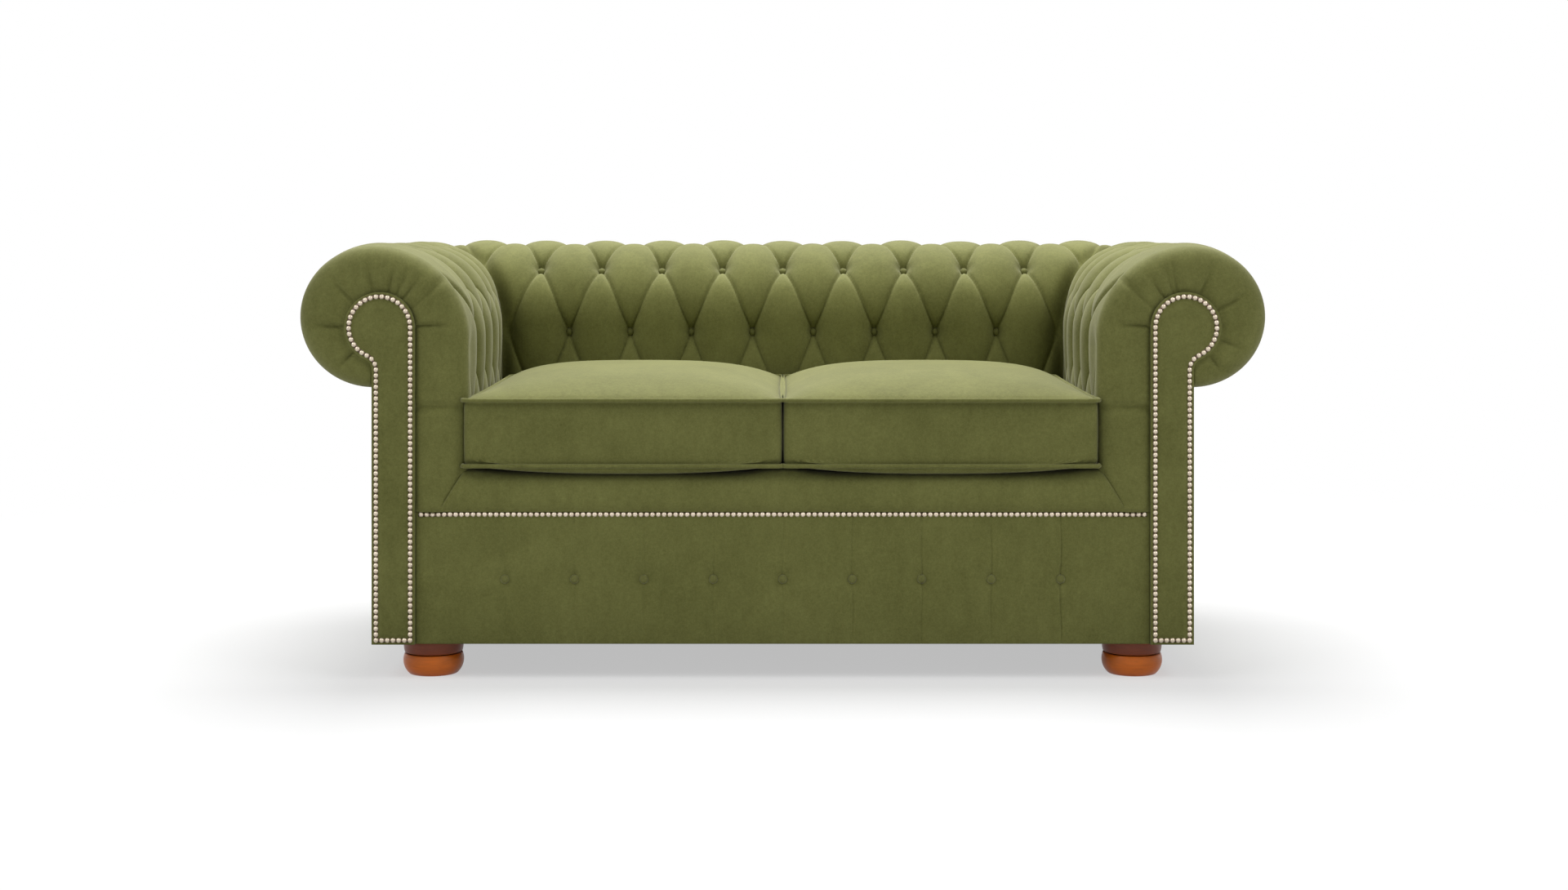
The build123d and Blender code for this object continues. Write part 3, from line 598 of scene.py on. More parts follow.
@dataclass(frozen=True)
class Button:
    """A covered button: a dome that falls from its middle as 1 - r^blunt."""

    radius: float
    rise: float
    blunt: float
    rings: int = 6
    sides: int = 16

    def dome(self, spot: np.ndarray, normal: np.ndarray, side: np.ndarray) -> np.ndarray:
        """The dome: circles of radius r lifted by rise times 1 - r^blunt.

        Args:
            spot: the middle of the dome's foot.
            normal: the way it stands out.
            side: a direction square to the normal.

        Returns:
            (rings, sides, 3) points, from the rim to the middle.
        """
        ring = np.linspace(1, 0, self.rings)[:, None, None]
        turn = np.linspace(0, 2 * math.pi, self.sides, endpoint=False)[None, :, None]
        flat = self.radius * ring * (np.cos(turn) * side + np.sin(turn) * np.cross(normal, side))
        return spot + flat + normal * self.rise * (1 - ring**self.blunt)

    @staticmethod
    def piece(name: str, domes: Iterable[np.ndarray], finishes: Finishes, node: str) -> None:
        """Joins domes into one piece.

        Args:
            name: of the piece.
            domes: points of each button.
            finishes: every finish.
            node: the CAD node whose place it takes.
        """
        draft = Draft(name)
        for dome in domes:
            draft.sheet(dome, around=True)
        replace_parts(draft.piece(finishes, "velvet_button"), node)


def tube_grid(path: np.ndarray, radius: float, sides: int = 10) -> np.ndarray:
    """A round tube along a closed level path: each point's circle stands across the path's run.

    Args:
        path: (count, 3) points of a closed loop.
        radius: the tube's radius.
        sides: points round the circle.

    Returns:
        (count + 1, sides, 3) points, the last row over the first.
    """
    run = np.roll(path, -1, axis=0) - np.roll(path, 1, axis=0)
    run /= np.linalg.norm(run, axis=1, keepdims=True)
    across = np.cross(run, np.array([0.0, 0.0, 1.0]))
    across /= np.linalg.norm(across, axis=1, keepdims=True)
    lift = np.cross(across, run)
    turn = np.linspace(0, 2 * math.pi, sides, endpoint=False)[None, :, None]
    tube = path[:, None] + radius * (np.cos(turn) * across[:, None] + np.sin(turn) * lift[:, None])
    return np.concatenate([tube, tube[:1]])


@dataclass(frozen=True)
class RollProfile:
    """The pad's section: an upright face, a shoulder arc to the top, and a roll outwards and under.

    u runs outwards from the roll's centre line and v is the height. Arc length is counted from the
    lower button row.
    """

    bottom: float
    top: float
    reach: float
    radius: float = 0.133
    low_row: float = 0.590

    @property
    def shoulder(self) -> float:
        """Height where the upright face ends."""
        return self.top - self.reach

    @property
    def start(self) -> float:
        """Arc length at the pad's lower edge."""
        return self.bottom - self.low_row

    @property
    def crest(self) -> float:
        """Arc length at the top of the roll."""
        return self.shoulder - self.low_row + self.reach * math.pi / 2

    @property
    def end(self) -> float:
        """Arc length at the underside of the roll."""
        return self.crest + self.radius * math.pi

    def at(self, along: np.ndarray) -> tuple[np.ndarray, np.ndarray, np.ndarray, np.ndarray]:
        """Points and outward normals: upright line, then two arcs of the angles travelled.

        Args:
            along: arc lengths.

        Returns:
            u, v and the normal's u and v.
        """
        flat = self.shoulder - self.low_row
        lift = np.clip((along - flat) / self.reach, 0.0, math.pi / 2)
        turn = np.clip((along - self.crest) / self.radius, 0.0, math.pi)
        on_roll = along > self.crest
        nu = np.where(on_roll, np.sin(turn), -np.cos(lift))
        nv = np.where(on_roll, np.cos(turn), np.sin(lift))
        u = np.where(on_roll, self.radius * nu, self.reach * nu)
        v = np.where(on_roll, self.top - self.radius + self.radius * nv, self.shoulder + self.reach * nv)
        return u, np.where(along < flat, self.low_row + along, v), nu, nv


@dataclass(frozen=True)
class Tufting:
    """Deep buttoning on a diamond lattice.

    With p = t / pitch and q = s / (2 rise), the pleats run along whole values of p + q and p - q, where
    the height is a power of |sin(pi(p+q)) sin(pi(p-q))|. Buttons sit where two pleats cross. Past the top
    row the pleats run straight and fade.
    """

    pitch: float = 0.1275
    rise: float = 0.16091
    rows_up: int = 2
    swell: float = 0.003
    flat_top: float = 0.005
    depth: float = 0.026
    sharp: float = 0.40
    shallow: float = 0.38
    crossing: float = 0.045
    pit: float = 0.012
    pit_width: float = 0.012
    fade: float = 0.26
    fade_to: float = 0.25
    plump: float = 0.0016
    plump_cells: int = 64

    def height(self, s: np.ndarray, t: np.ndarray, seed: int) -> np.ndarray:
        """Height of the cloth over the plain profile.

        Args:
            s: arc lengths up the pad's section.
            t: places along the pad.
            seed: of the small differences between the diamonds.

        Returns:
            Heights along the section's normal.
        """
        top = self.rows_up * self.rise
        p, q = t / self.pitch + 0.5, np.minimum(s, top) / (2 * self.rise)
        cell = np.abs(np.sin(np.pi * (p + q)) * np.sin(np.pi * (p - q)))
        row = np.round(np.minimum(s, top) / self.rise)
        column = np.round(p - row / 2) + row / 2
        near = np.hypot(t - (column - 0.5) * self.pitch, s - row * self.rise)
        past = np.clip(s - top, 0.0, None)
        keep = 1.0 - (1 - self.fade_to) * smoothstep(0.0, self.fade, past)
        deep = (self.shallow + (1 - self.shallow) * bell(near, self.crossing)) * keep
        cells = (self.plump_cells, self.plump_cells)
        plump = np.random.default_rng(seed).uniform(-self.plump, self.plump, cells)
        i, j = (np.floor(place).astype(int) % self.plump_cells for place in (p + q, p - q))
        pit = self.pit * bell(near, self.pit_width) * (row < self.rows_up)
        return self.swell + np.sqrt(cell) * plump[i, j] - self.depth * (1.0 - cell**self.sharp) * deep - pit


@dataclass(frozen=True)
class Facing:
    """Sizes of an arm's front panel, as offsets from the roll's centre line."""

    inner: float = -0.080
    outer: float = -0.003
    head_u: float = -0.017
    head_v: float = 0.631
    head_radius: float = 0.063
    neck_radius: float = 0.020
    head_share: float = 0.82

    @property
    def neck(self) -> Pair:
        """The centre of the neck's hollow, which touches the head's circle and the outer edge.

        Returns:
            u and v.
        """
        across = self.outer + self.neck_radius - self.head_u
        down = math.sqrt((self.head_radius + self.neck_radius) ** 2 - across**2)
        return self.head_u + across, self.head_v - down

    @property
    def neck_turn(self) -> float:
        """How far below level the head's curve ends and the neck's begins."""
        return math.atan2(self.head_v - self.neck[1], self.neck[0] - self.head_u)

    def on_head(self, turn: np.ndarray) -> Curve:
        """u and v on the head's circle."""
        radius = self.head_radius
        return self.head_u + radius * np.cos(turn), self.head_v + radius * np.sin(turn)

    def on_neck(self, turn: np.ndarray) -> Curve:
        """u and v on the neck's hollow."""
        (u, v), radius = self.neck, self.neck_radius
        return u + radius * np.cos(turn), v + radius * np.sin(turn)

    def outline(self, share: np.ndarray, profile: RollProfile) -> Curve:
        """The panel's edge that faces each point of the pad's section.

        Below the shoulder it is level with the pad. Round the shoulder it climbs the inner edge and a
        quarter of the head at an even rate. Round the roll it follows the rest of the head, then the neck.

        Args:
            share: arc lengths along the pad's section.
            profile: that section.

        Returns:
            u and v of the edge.
        """
        climb = self.head_v - profile.shoulder
        quarter = self.head_radius * math.pi / 2
        lift = np.clip((share - (profile.shoulder - profile.low_row)) / (profile.reach * math.pi / 2), 0, 1)
        run = lift * (climb + quarter)
        turn = math.pi - np.clip((run - climb) / self.head_radius, 0, math.pi / 2)
        roll = np.clip((share - profile.crest) / (profile.radius * math.pi), 0, 1)
        over = np.clip(roll / self.head_share, 0, 1)
        turn = np.where(roll > 0, math.pi / 2 - over * (math.pi / 2 + self.neck_turn), turn)
        under = np.clip((roll - self.head_share) / (1 - self.head_share), 0, 1)
        head, neck = self.on_head(turn), self.on_neck(math.pi - self.neck_turn * (1 - under))
        straight = (run < climb) & (roll <= 0)
        low = np.minimum(profile.low_row + share, profile.shoulder)
        edge = (self.inner, low + np.minimum(run, climb))
        pick = [straight, roll > self.head_share]
        return tuple(np.select(pick, [edge[k] + 0 * share, neck[k]], head[k]) for k in (0, 1))


@dataclass(frozen=True)
class ArmFront:
    """How the cloth lies at the front of an arm: calm by the facing, and creased round its head.

    Each crease is its angle round the head in degrees and its depth.
    """

    rounding: float = 0.040
    steps: int = 16
    calm_from: float = -0.452
    calm_run: float = 0.082
    upper: float = 0.12
    upper_from: float = 0.055
    upper_run: float = 0.05
    puff: float = 0.005
    puff_run: float = 0.16
    pleat: tuple[Pair, Pair] = ((-0.318, 0.0), (-0.446, 0.140))
    pleat_depth: float = 0.009
    pleat_width: float = 0.008
    creases: dict[Side, tuple[Pair, ...]] = field(default_factory=lambda: {
        Side.LEFT: ((1, 0.0080), (44, 0.0062), (79, 0.0046), (103, 0.0056), (116, 0.0052), (128, 0.0064),
                    (178, 0.0085), (-43, 0.0072)),
        Side.RIGHT: ((28, 0.0076), (-20, 0.0066), (-50, 0.0066), (66, 0.0050), (102, 0.0056), (109, 0.0050),
                     (125, 0.0064), (178, 0.0080)),
    })
    crease_width: float = 2.3
    crease_reach: Pair = (0.62, 1.30)
    side_level: float = 0.487
    side_depth: float = 0.0105
    side_width: float = 0.0048
    end_depth: float = 0.0070
    end_width: float = 0.0060
    end_fade: float = 0.6
    seam_zone: float = 0.16
    seam_share: float = 0.35
    seam_pull: float = 0.003
    swell: float = 0.006

    def settle(self, height: np.ndarray, y: np.ndarray, s: np.ndarray, edge: float) -> np.ndarray:
        """Calms the buttoning towards the front edge and draws in the pleat that runs to it, as a bell.

        Args:
            height: of the cloth over the plain profile.
            y: places along the arm.
            s: arc lengths up the section.
            edge: y where the rounding starts.

        Returns:
            The settled heights.
        """
        upper = smoothstep(0.0, self.upper, s)
        run = self.calm_run + self.upper_run * upper
        calm = smoothstep(0.0, 1.0, (y - self.calm_from - self.upper_from * upper) / run)
        puff = self.puff * np.sin(np.pi * np.clip((y - edge) / self.puff_run, 0, 1))
        start, end = (np.array(point) for point in self.pleat)
        way = end - start
        along = np.clip(((y - start[0]) * way[0] + (s - start[1]) * way[1]) / (way @ way), 0, 1)
        away = np.hypot(y - start[0] - along * way[0], s - start[1] - along * way[1])
        return height * calm + (1 - calm) * puff - self.pleat_depth * bell(away, self.pleat_width)

    def sink(
        self, side: Side, around: np.ndarray, turn: np.ndarray, s: np.ndarray, v: np.ndarray
    ) -> np.ndarray:
        """Depth of the creases on the rounded front.

        Args:
            side: which arm.
            around: angles round the facing's head, in degrees.
            turn: angles of the rounding, a quarter turn at the facing.
            s: arc lengths up the section.
            v: heights on the section.

        Returns:
            Depths at each point of the front.
        """
        reach = smoothstep(*self.crease_reach, turn)
        creases = (deep * bell(around - angle, self.crease_width) for angle, deep in self.creases[side])
        sink = sum(crease * reach for crease in creases)
        sink = sink + self.side_depth * bell(v - self.side_level, self.side_width) * np.sin(turn) ** 0.5
        last = bell(s - self.pleat[1][1], self.end_width) * (1 - self.end_fade * (1 - np.cos(turn)))
        free = smoothstep(0.0, self.seam_zone, math.pi / 2 - turn)
        return (sink + self.end_depth * last) * (self.seam_share + (1 - self.seam_share) * free)


@dataclass
class ButtonedPads:
    """The back pad and the two arm pads, which meet at upright mitres, with their covered buttons."""

    finishes: Finishes
    tufting: Tufting = field(default_factory=Tufting)
    arm_tufting: Tufting = field(default_factory=lambda: Tufting(depth=0.038))
    seeds: tuple[int, int] = (3, 5)
    facing: Facing = field(default_factory=Facing)
    front: ArmFront = field(default_factory=ArmFront)
    button: Button = Button(0.0095, 0.0065, 2.4)
    button_depth: float = 0.0285
    button_side: Triple = (0.31, 0.52, 0.79)
    back_buttons: int = 9
    arm_buttons: int = 4
    lattice: int = 24
    end_room: float = 0.3
    mitre_sink: float = -0.020
    mitre_width: float = 0.020
    corner_hollow: float = 0.018
    hollow_run: float = 0.17
    core_wall: float = 0.086
    core_top: float = 0.102
    core_outer: float = -0.004
    fill: float = 0.8

    def __post_init__(self) -> None:
        """Reads the pads' boxes from the frame."""
        low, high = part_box("arm_pad_right")
        self.outer_x, self.front_y = high[0], low[1]
        back_low, back_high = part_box("back_pad")
        self.rear = back_high[1]
        self.centre_x, self.centre_y = self.outer_x - RollProfile.radius, self.rear - RollProfile.radius
        reach = self.centre_x - low[0]
        self.arm_profile = RollProfile(low[2], high[2], reach)
        self.back_profile = RollProfile(back_low[2], high[2], reach)

    @property
    def shift(self) -> float:
        """What is added to y on an arm to count it as x on the back, round the mitre."""
        return self.centre_x - self.centre_y

    @property
    def step(self) -> float:
        """The grid's spacing along a pad."""
        return self.tufting.pitch / (2 * self.lattice)

    def _arcs(self, profile: RollProfile) -> np.ndarray:
        """Arc lengths on the lattice's own spacing, strictly between the section's ends, and both ends.

        Args:
            profile: the section.

        Returns:
            (count, 1) arc lengths.
        """
        step = self.tufting.rise / self.lattice
        first = math.ceil(profile.start / step + self.end_room)
        last = math.floor(profile.end / step - self.end_room)
        return np.concatenate([[profile.start], step * np.arange(first, last + 1), [profile.end]])[:, None]

    def _mitred(self, height: np.ndarray, to_mitre: np.ndarray) -> np.ndarray:
        """Sinks the height to one depth at the mitre: a bell of the distance to it."""
        keep = 1.0 - bell(to_mitre, self.mitre_width)
        return self.mitre_sink + (height - self.mitre_sink) * keep

    def _hollow(self, nu: np.ndarray, to_mitre: np.ndarray) -> np.ndarray:
        """Depth by which an arm sinks towards the rear corner: a bell of the distance to the mitre."""
        return self.corner_hollow * nu**2 * bell(to_mitre, self.hollow_run)

    def _core(self, profile: RollProfile) -> Curve:
        """The pad's hollow side, from the roll's underside back to the pad's lower edge.

        Args:
            profile: the section.

        Returns:
            u and v of its four corners.
        """
        under, crown = profile.top - 2 * profile.radius, profile.top - self.core_top
        u = [self.core_outer, self.core_outer, -self.core_wall, -self.core_wall]
        return np.array(u)[:, None], np.array([under, crown, crown, profile.bottom])[:, None]

    def _pad(self, node: str, outside: np.ndarray, inside: np.ndarray, height: np.ndarray) -> None:
        """Closes a pad's outside with its hollow side and puts it in its CAD node's place.

        Args:
            node: the CAD node.
            outside: the grid of the buttoned side.
            inside: the grid of the hollow side.
            height: heights of the buttoned side, for the split of the squares.
        """
        grid = np.concatenate([outside, inside, outside[:1]])
        depth = np.concatenate([height, np.zeros(inside.shape[:2]), height[:1]])
        Draft(f"{node}_cover").add(grid, valley_triangles(depth)).cover(self.finishes, node, self.fill)

    def back(self) -> None:
        """The back pad: the section carried along X, with the lattice's height along its normal."""
        s = self._arcs(self.back_profile)
        u, v, nu, nv = self.back_profile.at(s)
        limit = self.centre_x + u + self.mitre_sink * nu
        count = math.ceil(self.outer_x / self.step)
        x = np.clip(self.step * np.arange(-count, count + 1)[None, :], -limit, limit)
        height = self.tufting.height(s + 0 * x, x, self.seeds[0]) - self.tufting.flat_top * nv**2
        height = self._mitred(height, limit - np.abs(x))
        core_u, core_v = self._core(self.back_profile)
        inner_x = np.clip(x[-1][None, :], -(self.centre_x + core_u), self.centre_x + core_u)
        inside = points_of(inner_x, self.centre_y + core_u, core_v)
        outside = points_of(x, self.centre_y + u + height * nu, v + height * nv)
        self._pad("back_pad", outside, inside, height)

    def arm(self, side: Side) -> None:
        """One arm pad: the section carried along Y, and a rounded front drawn in to the facing.

        Args:
            side: which arm.
        """
        s = self._arcs(self.arm_profile)
        u, v, nu, nv = self.arm_profile.at(s)
        limit = self.centre_y + u + self.mitre_sink * nu
        edge = self.front_y + self.front.rounding
        last = math.floor((self.rear + self.shift) / self.step) + 1
        first = math.ceil((edge + self.shift) / self.step)
        row = np.concatenate([[edge], self.step * np.arange(first, last + 1) - self.shift])[None, :]
        y = np.minimum(row, limit)
        height = self.arm_tufting.height(s + 0 * y, y + self.shift, self.seeds[1])
        height = self.front.settle(height, y, s, edge)
        height = height - self._hollow(nu, limit - y) - self.tufting.flat_top * nv**2
        height = self._mitred(height, limit - y)
        cap, cap_height = self._cap(side, s, edge)
        outside = points_of(self.centre_x + u + height * nu, y, v + height * nv)
        core_u, core_v = self._core(self.arm_profile)
        inner_y = np.concatenate([np.full(cap.shape[1], edge), y[0]])[None, :]
        inside = points_of(self.centre_x + core_u, np.minimum(inner_y, self.centre_y + core_u), core_v)
        mirror = np.array([side.value, 1, 1])
        self._pad(
            f"arm_pad_{side.word}", np.concatenate([cap, outside], axis=1) * mirror, inside * mirror,
            np.concatenate([cap_height, height], axis=1),
        )

    def _cap(self, side: Side, s: np.ndarray, edge: float) -> Curve:
        """The rounded front of an arm pad.

        It runs from the section p to the facing's edge f as f + (p - f) cos a, while y goes forward by
        sin a. Each crease on it is a narrow bell of the angle round the head, deepest at the nails.

        Args:
            side: which arm.
            s: arc lengths up the section.
            edge: y where the rounding starts.

        Returns:
            Its points, and its heights for the split of the squares.
        """
        front = self.front
        u, v, nu, nv = self.arm_profile.at(s)
        f_u, f_v = self.facing.outline(s, self.arm_profile)
        turn = np.linspace(math.pi / 2, 0, front.steps, endpoint=False)[None, :]
        flat_u, flat_v = f_u + (u - f_u) * np.cos(turn), f_v + (v - f_v) * np.cos(turn)
        around = np.degrees(np.arctan2(flat_v - self.facing.head_v, flat_u - self.facing.head_u))
        sink = front.sink(side, around, turn, s, v)
        pulled = front.seam_pull * bell(math.pi / 2 - turn, front.seam_zone)
        y = edge - front.rounding * np.sin(turn) + sink + pulled - front.swell * np.sin(2 * turn)
        drop = -self.tufting.flat_top * nv**2 * np.cos(turn)
        return points_of(self.centre_x + flat_u + drop * nu, y, flat_v + drop * nv), -sink

    def buttons(self) -> None:
        """Covered buttons, sunk where the pleats cross."""
        pitch, rise = self.tufting.pitch, self.tufting.rise
        high = pitch * (np.arange(self.back_buttons) - self.back_buttons // 2)
        spots = [(x, 0.0) for x in high[:-1] + pitch / 2] + [(x, rise) for x in high]
        domes = [self._dome(s, (t, 0, 0), (0, 1), self.button_depth) for t, s in spots]
        self.button.piece("back_button_covers", domes, self.finishes, "back_buttons")
        sunk = self.button_depth + self.arm_tufting.depth - self.tufting.depth
        domes = []
        for s, start in ((0.0, high[-1] - pitch / 2), (rise, high[-1])):
            u, _, nu, _ = self.arm_profile.at(np.array(s))
            limit = self.centre_y + u + self.mitre_sink * nu
            for t in start - self.shift - pitch * np.arange(self.arm_buttons):
                deep = sunk + float(self._hollow(nu, limit - t))
                domes += [self._dome(s, (0, t, 0), (side.value, 0), deep) for side in Side]
        self.button.piece("arm_button_covers", domes, self.finishes, "arm_buttons")

    def _dome(self, s: float, base: Triple, outward: Pair, sunk: float) -> np.ndarray:
        """One button, on the section's normal.

        Args:
            s: its arc length up the section.
            base: its place along the pad.
            outward: the way out of the seat, in X and Y.
            sunk: its depth.

        Returns:
            Points of its dome.
        """
        u, v, nu, nv = (float(value) for value in self.back_profile.at(np.array(s)))
        sign = np.array([*outward, 0.0])
        centre = np.array([self.centre_x, self.centre_y, 0.0]) * sign + np.array(base)
        normal = sign * nu + np.array([0, 0, nv])
        side = np.cross(normal, self.button_side)
        spot = centre + sign * u + np.array([0, 0, v]) - normal * sunk
        return self.button.dome(spot, normal, side / np.linalg.norm(side))

    def build(self) -> None:
        """Makes the pads and their buttons."""
        self.back()
        for side in Side:
            self.arm(side)
        self.buttons()


@dataclass(frozen=True)
class BoxPlan:
    """The plan of a boxed cushion: a rectangle with rounded corners and sides drawn in between them.

    A corner's square is turned into a quarter disc by x sqrt(1 - y^2 / 2) and y sqrt(1 - x^2 / 2). The ear
    is how far one front corner stands out.
    """

    low: Pair
    high: Pair
    corner: float
    drawn_in: float
    ear: float = 0.0
    ear_across: Pair = (0.3, 1.0)
    ear_forward: Pair = (0.390, 0.455)

    def at(self, a: np.ndarray, b: np.ndarray) -> Curve:
        """Places on the plan.

        Args:
            a: shares across it in X, from -1 to 1.
            b: shares across it in Y, from -1 to 1.

        Returns:
            x and y.
        """
        half = [(h - l) / 2 for l, h in zip(self.low, self.high)]
        inset = [self.drawn_in * (1 - b * b), self.drawn_in * (1 - a * a)]
        flat = [abs(share) * size for share, size in zip((a, b), half)]
        square = [(value - size + self.corner) / self.corner for value, size in zip(flat, half)]
        past = [np.clip(share, 0, 1) for share in square]
        both = (past[0] > 0) & (past[1] > 0)
        place = []
        for k, share in enumerate((a, b)):
            bent = half[k] - self.corner + self.corner * past[k] * np.sqrt(1 - past[1 - k] ** 2 / 2)
            out = np.sign(share) * np.where(both, bent, flat[k]) * (1 - inset[k] / half[k])
            place.append((self.high[k] + self.low[k]) / 2 + out)
        outer = smoothstep(*self.ear_across, a * math.copysign(1, self.ear))
        return place[0] + self.ear * outer * smoothstep(*self.ear_forward, -place[1]), place[1]

    @staticmethod
    def round_shares(count: int) -> Curve:
        """The shares a and b of 4 count points round the edge."""
        run, one = np.linspace(-1, 1, count, endpoint=False), np.ones(count)
        return np.concatenate([run, one, -run, -one]), np.concatenate([-one, run, one, -run])


@dataclass(frozen=True)
class Swelling:
    """A short cloth simulation that inflates a cover above a held seam."""

    pressure: float = 5.0
    most: float = 0.010
    quality: int = 6
    tension: float = 25.0
    bending: float = 2.0
    frames: int = 20

    def run(self, made: bpy.types.Object, seam: float) -> None:
        """Inflates the cloth above a seam and keeps each point within a short way of its start.

        Args:
            made: the cover.
            seam: the seam's height.
        """
        start = np.empty(len(made.data.vertices) * 3)
        made.data.vertices.foreach_get("co", start)
        group = made.vertex_groups.new(name="seams")
        group.add(np.flatnonzero(start.reshape(-1, 3)[:, 2] < seam + 1e-4).tolist(), 1.0, "REPLACE")
        cloth = made.modifiers.new("swell", "CLOTH")
        cloth.settings.use_pressure = True
        cloth.settings.uniform_pressure_force = self.pressure
        cloth.settings.effector_weights.gravity = 0.0
        cloth.settings.vertex_group_mass = group.name
        cloth.settings.quality = self.quality
        cloth.settings.tension_stiffness = self.tension
        cloth.settings.bending_stiffness = self.bending
        cloth.point_cache.frame_start, cloth.point_cache.frame_end = 1, self.frames
        scene = bpy.context.scene
        for step in range(1, self.frames + 1):
            scene.frame_set(step)
        seen = made.evaluated_get(bpy.context.evaluated_depsgraph_get())
        now = np.empty_like(start)
        seen.data.vertices.foreach_get("co", now)
        made.modifiers.remove(cloth)
        scene.frame_set(1)
        moved = (now - start).reshape(-1, 3)
        length = np.linalg.norm(moved, axis=1, keepdims=True)
        moved *= self.most * np.tanh(length / self.most) / np.maximum(length, 1e-9)
        made.data.vertices.foreach_set("co", (start.reshape(-1, 3) + moved).ravel())
        made.vertex_groups.remove(group)
        made.data.update()


@dataclass
class BoxedPad:
    """A boxed cushion or mattress: crowned faces and a border between two piped seams.

    The belly is how far the front of the lower face hangs.
    """

    node: str
    body: str
    slot: str
    finishes: Finishes
    plan: BoxPlan
    seams: Pair
    crown: Pair
    bulge: float
    welt: float
    cells: int = 44
    border_rows: int = 9
    swelling: Swelling | None = None
    fill: float = 0.7
    welt_out: Pair = (0.0, 0.0)
    welt_points: int = 72
    belly: float = 0.0
    belly_back: float = -0.432
    belly_forward: float = 0.25
    belly_shape: Pair = (2.5, 0.4)
    crown_shape: Pair = (3.6, 0.6)

    def _face(self, seam: float, rise: float) -> np.ndarray:
        """A face crowned by a power of (1 - |a|^flat) (1 - |b|^flat) over its seam.

        Args:
            seam: the seam's height.
            rise: the crown's height; the lower face's is negative, and its front hangs.

        Returns:
            (rows, columns, 3) points.
        """
        share = np.linspace(-1, 1, self.cells + 1)
        a, b = np.meshgrid(share, share, indexing="ij")
        x, y = self.plan.at(a, b)
        flat, power = self.crown_shape
        dome = ((1 - np.abs(a) ** flat) * (1 - np.abs(b) ** flat)) ** power
        front = self.plan.low[1]
        flat, power = self.belly_shape
        under = np.sin(np.pi * np.clip((y - front) / (self.belly_back - front), 0, 1)) ** power
        droop = self.belly * under * (1 - np.abs(a) ** flat) if rise <= 0 else 0.0
        return points_of(x, y - self.belly_forward * droop, seam + rise * dome - droop)

    def _border(self) -> np.ndarray:
        """The border between the seams, bowed outwards as sin(pi w) of the share w of its height.

        Returns:
            (rows, columns, 3) points.
        """
        a, b = (share[None, :] for share in self.plan.round_shares(self.cells))
        up = np.linspace(0, 1, self.border_rows + 1)[:, None]
        x, y = self.plan.at(a, b)
        out = np.sin(np.pi * up) * self.bulge
        side = np.abs(a) >= np.abs(b)
        push_x, push_y = np.where(side, np.sign(a), 0) * out, np.where(side, 0, np.sign(b)) * out
        z = self.seams[0] + (self.seams[1] - self.seams[0]) * up
        return points_of(x + push_x, y + push_y, z)

    def _piping(self) -> None:
        """The round welt along both seams, standing out past the plan."""
        piping = Draft(f"{self.node}_cover_piping")
        loop = np.stack(self.plan.at(*self.plan.round_shares(self.welt_points)), -1)
        middle = loop.mean(axis=0)
        grow = np.array(self.welt_out) / np.abs(loop - middle).max(axis=0)
        loop = middle + (loop - middle) * (1 + grow)
        for seam in self.seams:
            path = np.column_stack([loop, np.full(len(loop), seam)])
            piping.sheet(tube_grid(path, self.welt), around=True)
        piping.piece(self.finishes, self.slot, self.body)

    def build(self) -> None:
        """Makes the cover and its two piped seams."""
        draft = Draft(f"{self.node}_cover")
        draft.sheet(self._face(self.seams[1], self.crown[1]))
        draft.sheet(self._face(self.seams[0], -self.crown[0]))
        draft.sheet(self._border(), around=True)
        made = draft.piece(self.finishes, self.slot, self.body, merge=2e-5)
        if self.swelling:
            self.swelling.run(made, self.seams[1])
        smooth = made.modifiers.new("smooth", "SUBSURF")
        smooth.levels = smooth.render_levels = 1
        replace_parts(made, self.node)
        self._piping()


@dataclass
class SeatCushions:
    """The two loose seat cushions."""

    finishes: Finishes
    border: float = 0.118
    crown: float = 0.0385
    corner: float = 0.014
    drawn_in: float = 0.003
    bulge: float = 0.001
    meeting: float = 0.0006
    welt: float = 0.0040
    welt_out: Pair = (0.00145, 0.0058)
    left_ear: float = -0.011
    right_ear: float = 0.004
    belly: float = 0.0155
    seam_lift: float = 0.0065

    def build(self) -> None:
        """Makes both cushions."""
        gap = self.welt / 2
        left_end = (Side.LEFT, gap, self.meeting, self.left_ear)
        right_end = (Side.RIGHT, self.meeting, gap, self.right_ear)
        for side, left, right, ear in (left_end, right_end):
            node = f"seat_cushion_{side.word}"
            low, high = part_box(node)
            corners = (low[0] + left, low[1] + gap), (high[0] - right, high[1] - gap)
            bottom = low[2] + self.seam_lift
            BoxedPad(
                node, f"{side.word}_cushion", "velvet", self.finishes,
                BoxPlan(*corners, self.corner, self.drawn_in, ear),
                (bottom, bottom + self.border), (self.seam_lift, self.crown), self.bulge, self.welt,
                swelling=Swelling(), welt_out=self.welt_out, belly=self.belly,
            ).build()


@dataclass
class BedMattress:
    """The three mattress sections with taped edges."""

    finishes: Finishes
    tape: float = 0.0035
    crown: float = 0.0056
    corner: float = 0.030
    drawn_in: float = 0.002
    bulge: float = 0.002
    inset: float = 0.004
    cells: int = 30
    border_rows: int = 6
    fill: float = 0.9

    def build(self) -> None:
        """Makes the three sections inside their CAD solids."""
        for name in SECTIONS:
            low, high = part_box(f"{name}_mattress")
            near = (low[0] + self.inset, low[1] + self.inset)
            far = (high[0] - self.inset, high[1] - self.inset)
            seams = (low[2] + 2 * self.tape, high[2] - 2 * self.tape)
            BoxedPad(
                f"{name}_mattress", f"{name}_section", "mattress_ticking", self.finishes,
                BoxPlan(near, far, self.corner, self.drawn_in), seams, (self.crown, self.crown),
                self.bulge, self.tape, self.cells, self.border_rows, fill=self.fill,
            ).build()


